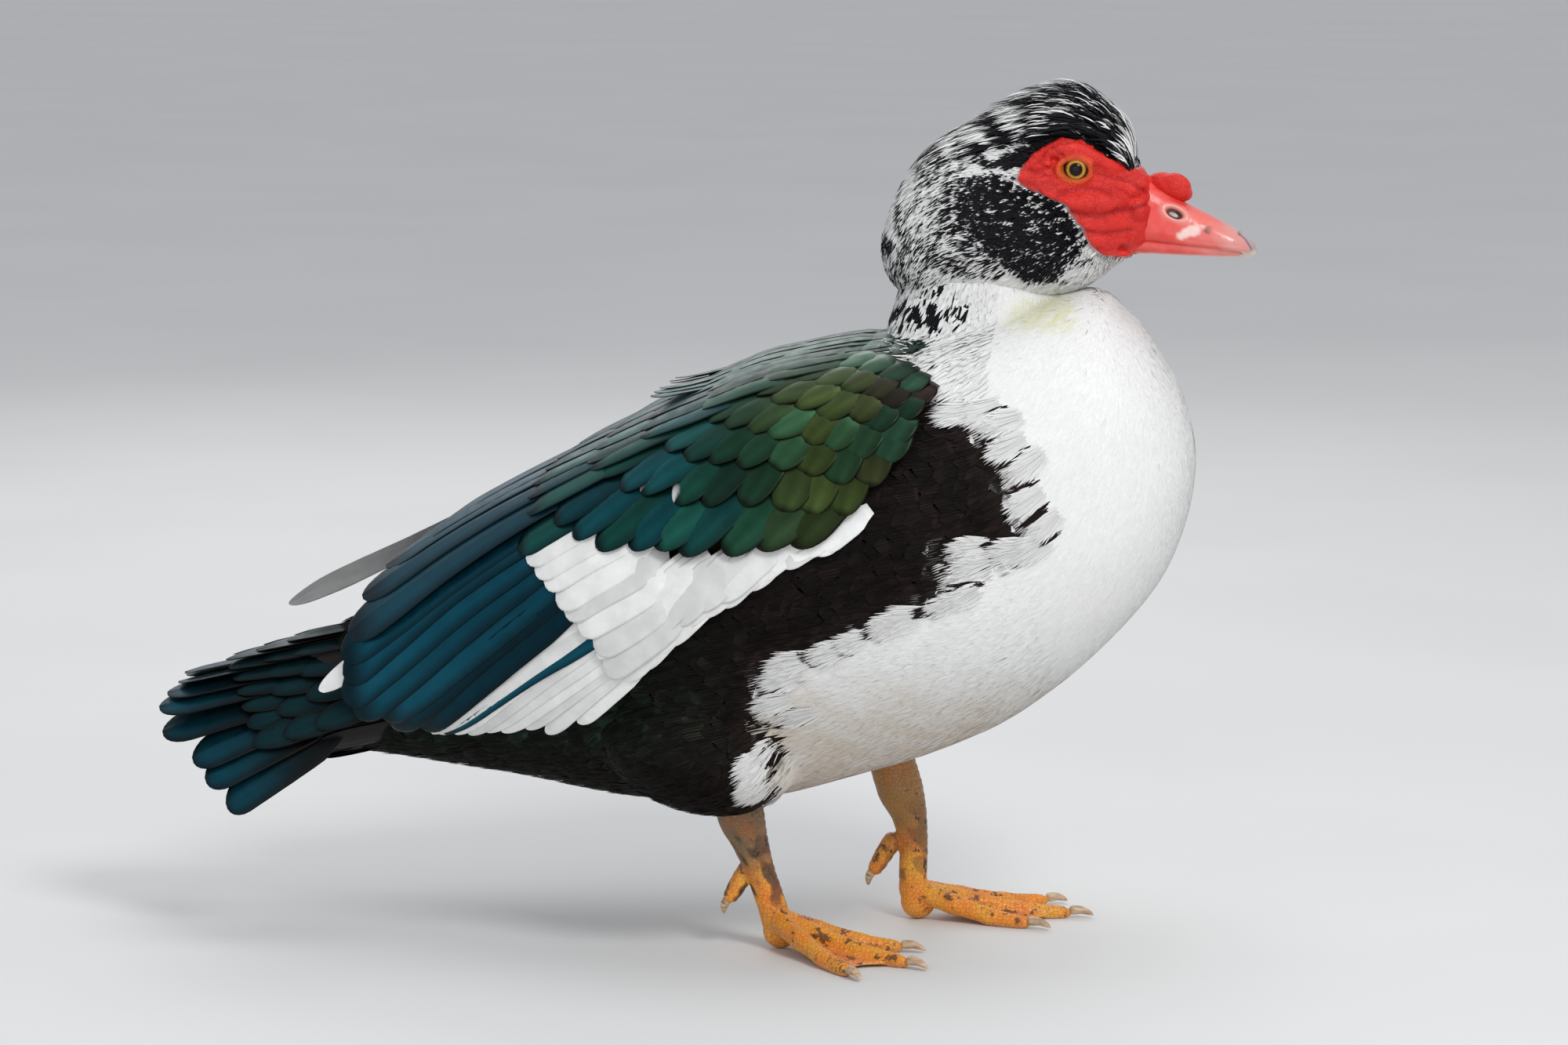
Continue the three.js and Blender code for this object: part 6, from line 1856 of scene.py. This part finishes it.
class DrakeColours(bpy.types.PropertyGroup):
    white: colour_property(
        name="White Feathers", default=TONES["white"],
        description="Colour of the breast, the wing patch and the pale feathers of the head")
    black: colour_property(
        name="Black Feathers", default=TONES["black"],
        description="Colour of the crest, the cheek and the dark streaks")
    flank: colour_property(
        name="Flank", default=TONES["flank"],
        description="Colour of the dark small feathers of the body")
    bronze: colour_property(
        name="Bronze Coverts", default=TONES["bronze"],
        description="Shimmer of the small coverts at the front of the wing")
    green: colour_property(
        name="Green Coverts", default=TONES["green"],
        description="Shimmer of the coverts in the middle of the wing")
    teal: colour_property(
        name="Teal Feathers", default=TONES["teal"],
        description="Shimmer of the large coverts and the tail")
    blue: colour_property(
        name="Blue Feathers", default=TONES["blue"],
        description="Shimmer of the long feathers of the wing")
    face: colour_property(
        name="Face", default=TONES["face"],
        description="Colour of the bare skin of the face and the knob")
    bill_root: colour_property(
        name="Bill Root", default=TONES["bill_root"],
        description="Colour of the bill beside the face")
    bill: colour_property(
        name="Bill", default=TONES["bill"],
        description="Colour of the bill towards its tip")
    bill_stain: colour_property(
        name="Bill Stain", default=TONES["bill_stain"],
        description="Colour of the pale stain in front of the nostril")
    foot: colour_property(
        name="Foot", default=TONES["foot"],
        description="Deeper colour of the toes and lower shanks")
    foot_light: colour_property(
        name="Foot, Light", default=TONES["foot_light"],
        description="Lighter colour of the toes and lower shanks")
    web: colour_property(
        name="Web", default=TONES["web"],
        description="Colour of the skin between the toes")
    stain: colour_property(
        name="Breast Stain", default=TONES["stain"],
        description="Colour of the stain on the breast under the jaw")
    floor: colour_property(
        name="Floor", default=(0.72, 0.72, 0.71),
        description="Colour of the floor under the drake")


class DrakeSizes(bpy.types.PropertyGroup):
    coat_density: bpy.props.FloatProperty(
        name="Coat Density", description="Share of the full number of small feathers",
        default=1.0, min=0.1, max=1.2)
    tuft_length: bpy.props.FloatProperty(
        name="Tuft Length", default=1.0, min=0.5, max=1.5,
        description="Length of the small feathers of head and breast, as a share of the usual")
    crest_height: bpy.props.FloatProperty(
        name="Crest Height", description="How far the crest stands up, as a share of the usual",
        default=1.0, min=0, max=1.5)
    daylight: bpy.props.FloatProperty(
        name="Daylight", description="Strength of the pale room's light", default=0.6, min=0, max=3)


def take_settings(context):
    """Brings the sidebar's colours and sizes into the tables that the pieces are made from."""
    for name in TONES:
        TONES[name] = tuple(getattr(context.scene.drake_colours, name))
    for name in SIZES:
        SIZES[name] = getattr(context.scene.drake_sizes, name)


# Operators

class DRAKE_OT_stage(bpy.types.Operator):
    """Lay the pale floor, hang the soft lamps and set the camera"""
    bl_idname = "drake.stage"
    bl_label = "Floor, Lamps and Camera"

    def execute(self, context):
        scene = context.scene
        make_stage(tuple(scene.drake_colours.floor), scene.drake_sizes.daylight)
        return {"FINISHED"}


class DRAKE_OT_skin(bpy.types.Operator):
    """Cover the torso, neck, head and thighs with one skin, folded on the face"""
    bl_idname = "drake.skin"
    bl_label = "Skin"

    def execute(self, context):
        take_settings(context)
        make_skin()
        return {"FINISHED"}


class DRAKE_OT_eyes(bpy.types.Operator):
    """Set both eyes into their lids"""
    bl_idname = "drake.eyes"
    bl_label = "Eyes"

    def execute(self, context):
        take_settings(context)
        make_eyes()
        return {"FINISHED"}


class DRAKE_OT_bill(bpy.types.Operator):
    """Shape both halves of the bill with nostrils and nail"""
    bl_idname = "drake.bill"
    bl_label = "Bill"

    def execute(self, context):
        take_settings(context)
        make_bill()
        return {"FINISHED"}


class DRAKE_OT_legs(bpy.types.Operator):
    """Shape the scaled shanks, webbed feet and claws"""
    bl_idname = "drake.legs"
    bl_label = "Legs and Claws"

    def execute(self, context):
        take_settings(context)
        make_legs()
        make_claws()
        return {"FINISHED"}


class DRAKE_OT_wings(bpy.types.Operator):
    """Lay both wings' flight feathers, coverts and scapulars tier over tier"""
    bl_idname = "drake.wings"
    bl_label = "Wings"

    def execute(self, context):
        take_settings(context)
        for side_name in HANDS:
            make_wing(side_name)
        return {"FINISHED"}


class DRAKE_OT_tail(bpy.types.Operator):
    """Fan the tail's feathers and lay their coverts"""
    bl_idname = "drake.tail"
    bl_label = "Tail"

    def execute(self, context):
        take_settings(context)
        make_tail()
        return {"FINISHED"}


class DRAKE_OT_coat(bpy.types.Operator):
    """Lay the small feathers of the body, neck and head"""
    bl_idname = "drake.coat"
    bl_label = "Body and Head Plumage"

    def execute(self, context):
        take_settings(context)
        density = context.scene.drake_sizes.coat_density
        make_body_coat(density)
        make_white_lobes()
        make_head_coat(density)
        make_nape_curls()
        return {"FINISHED"}


class DRAKE_OT_crest(bpy.types.Operator):
    """Raise the crest's locks on the crown"""
    bl_idname = "drake.crest"
    bl_label = "Crest"

    def execute(self, context):
        take_settings(context)
        make_crest(context.scene.drake_sizes.coat_density)
        return {"FINISHED"}


class DRAKE_PT_sidebar(bpy.types.Panel):
    bl_label = "Muscovy Drake"
    bl_idname = "DRAKE_PT_sidebar"
    bl_space_type = "VIEW_3D"
    bl_region_type = "UI"
    bl_category = "Drake"

    def draw(self, context):
        scene = context.scene
        for group, names in ((scene.drake_colours, COLOUR_NAMES), (scene.drake_sizes, SIZE_NAMES)):
            for name in names:
                self.layout.prop(group, name)
        for operator in OPERATORS:
            self.layout.operator(operator.bl_idname)


OPERATORS = (DRAKE_OT_stage, DRAKE_OT_skin, DRAKE_OT_eyes, DRAKE_OT_bill, DRAKE_OT_legs, DRAKE_OT_wings,
             DRAKE_OT_tail, DRAKE_OT_coat, DRAKE_OT_crest)
CLASSES = (DrakeColours, DrakeSizes, *OPERATORS, DRAKE_PT_sidebar)
COLOUR_NAMES = tuple(DrakeColours.__annotations__)
SIZE_NAMES = tuple(DrakeSizes.__annotations__)


def register():
    for part in CLASSES:
        bpy.utils.register_class(part)
    bpy.types.Scene.drake_colours = bpy.props.PointerProperty(type=DrakeColours)
    bpy.types.Scene.drake_sizes = bpy.props.PointerProperty(type=DrakeSizes)


def unregister():
    del bpy.types.Scene.drake_sizes
    del bpy.types.Scene.drake_colours
    for part in reversed(CLASSES):
        bpy.utils.unregister_class(part)


def main():
    register()
    for operator in OPERATORS:
        family, name = operator.bl_idname.split(".")
        getattr(getattr(bpy.ops, family), name)()


if __name__ == "__main__":
    main()
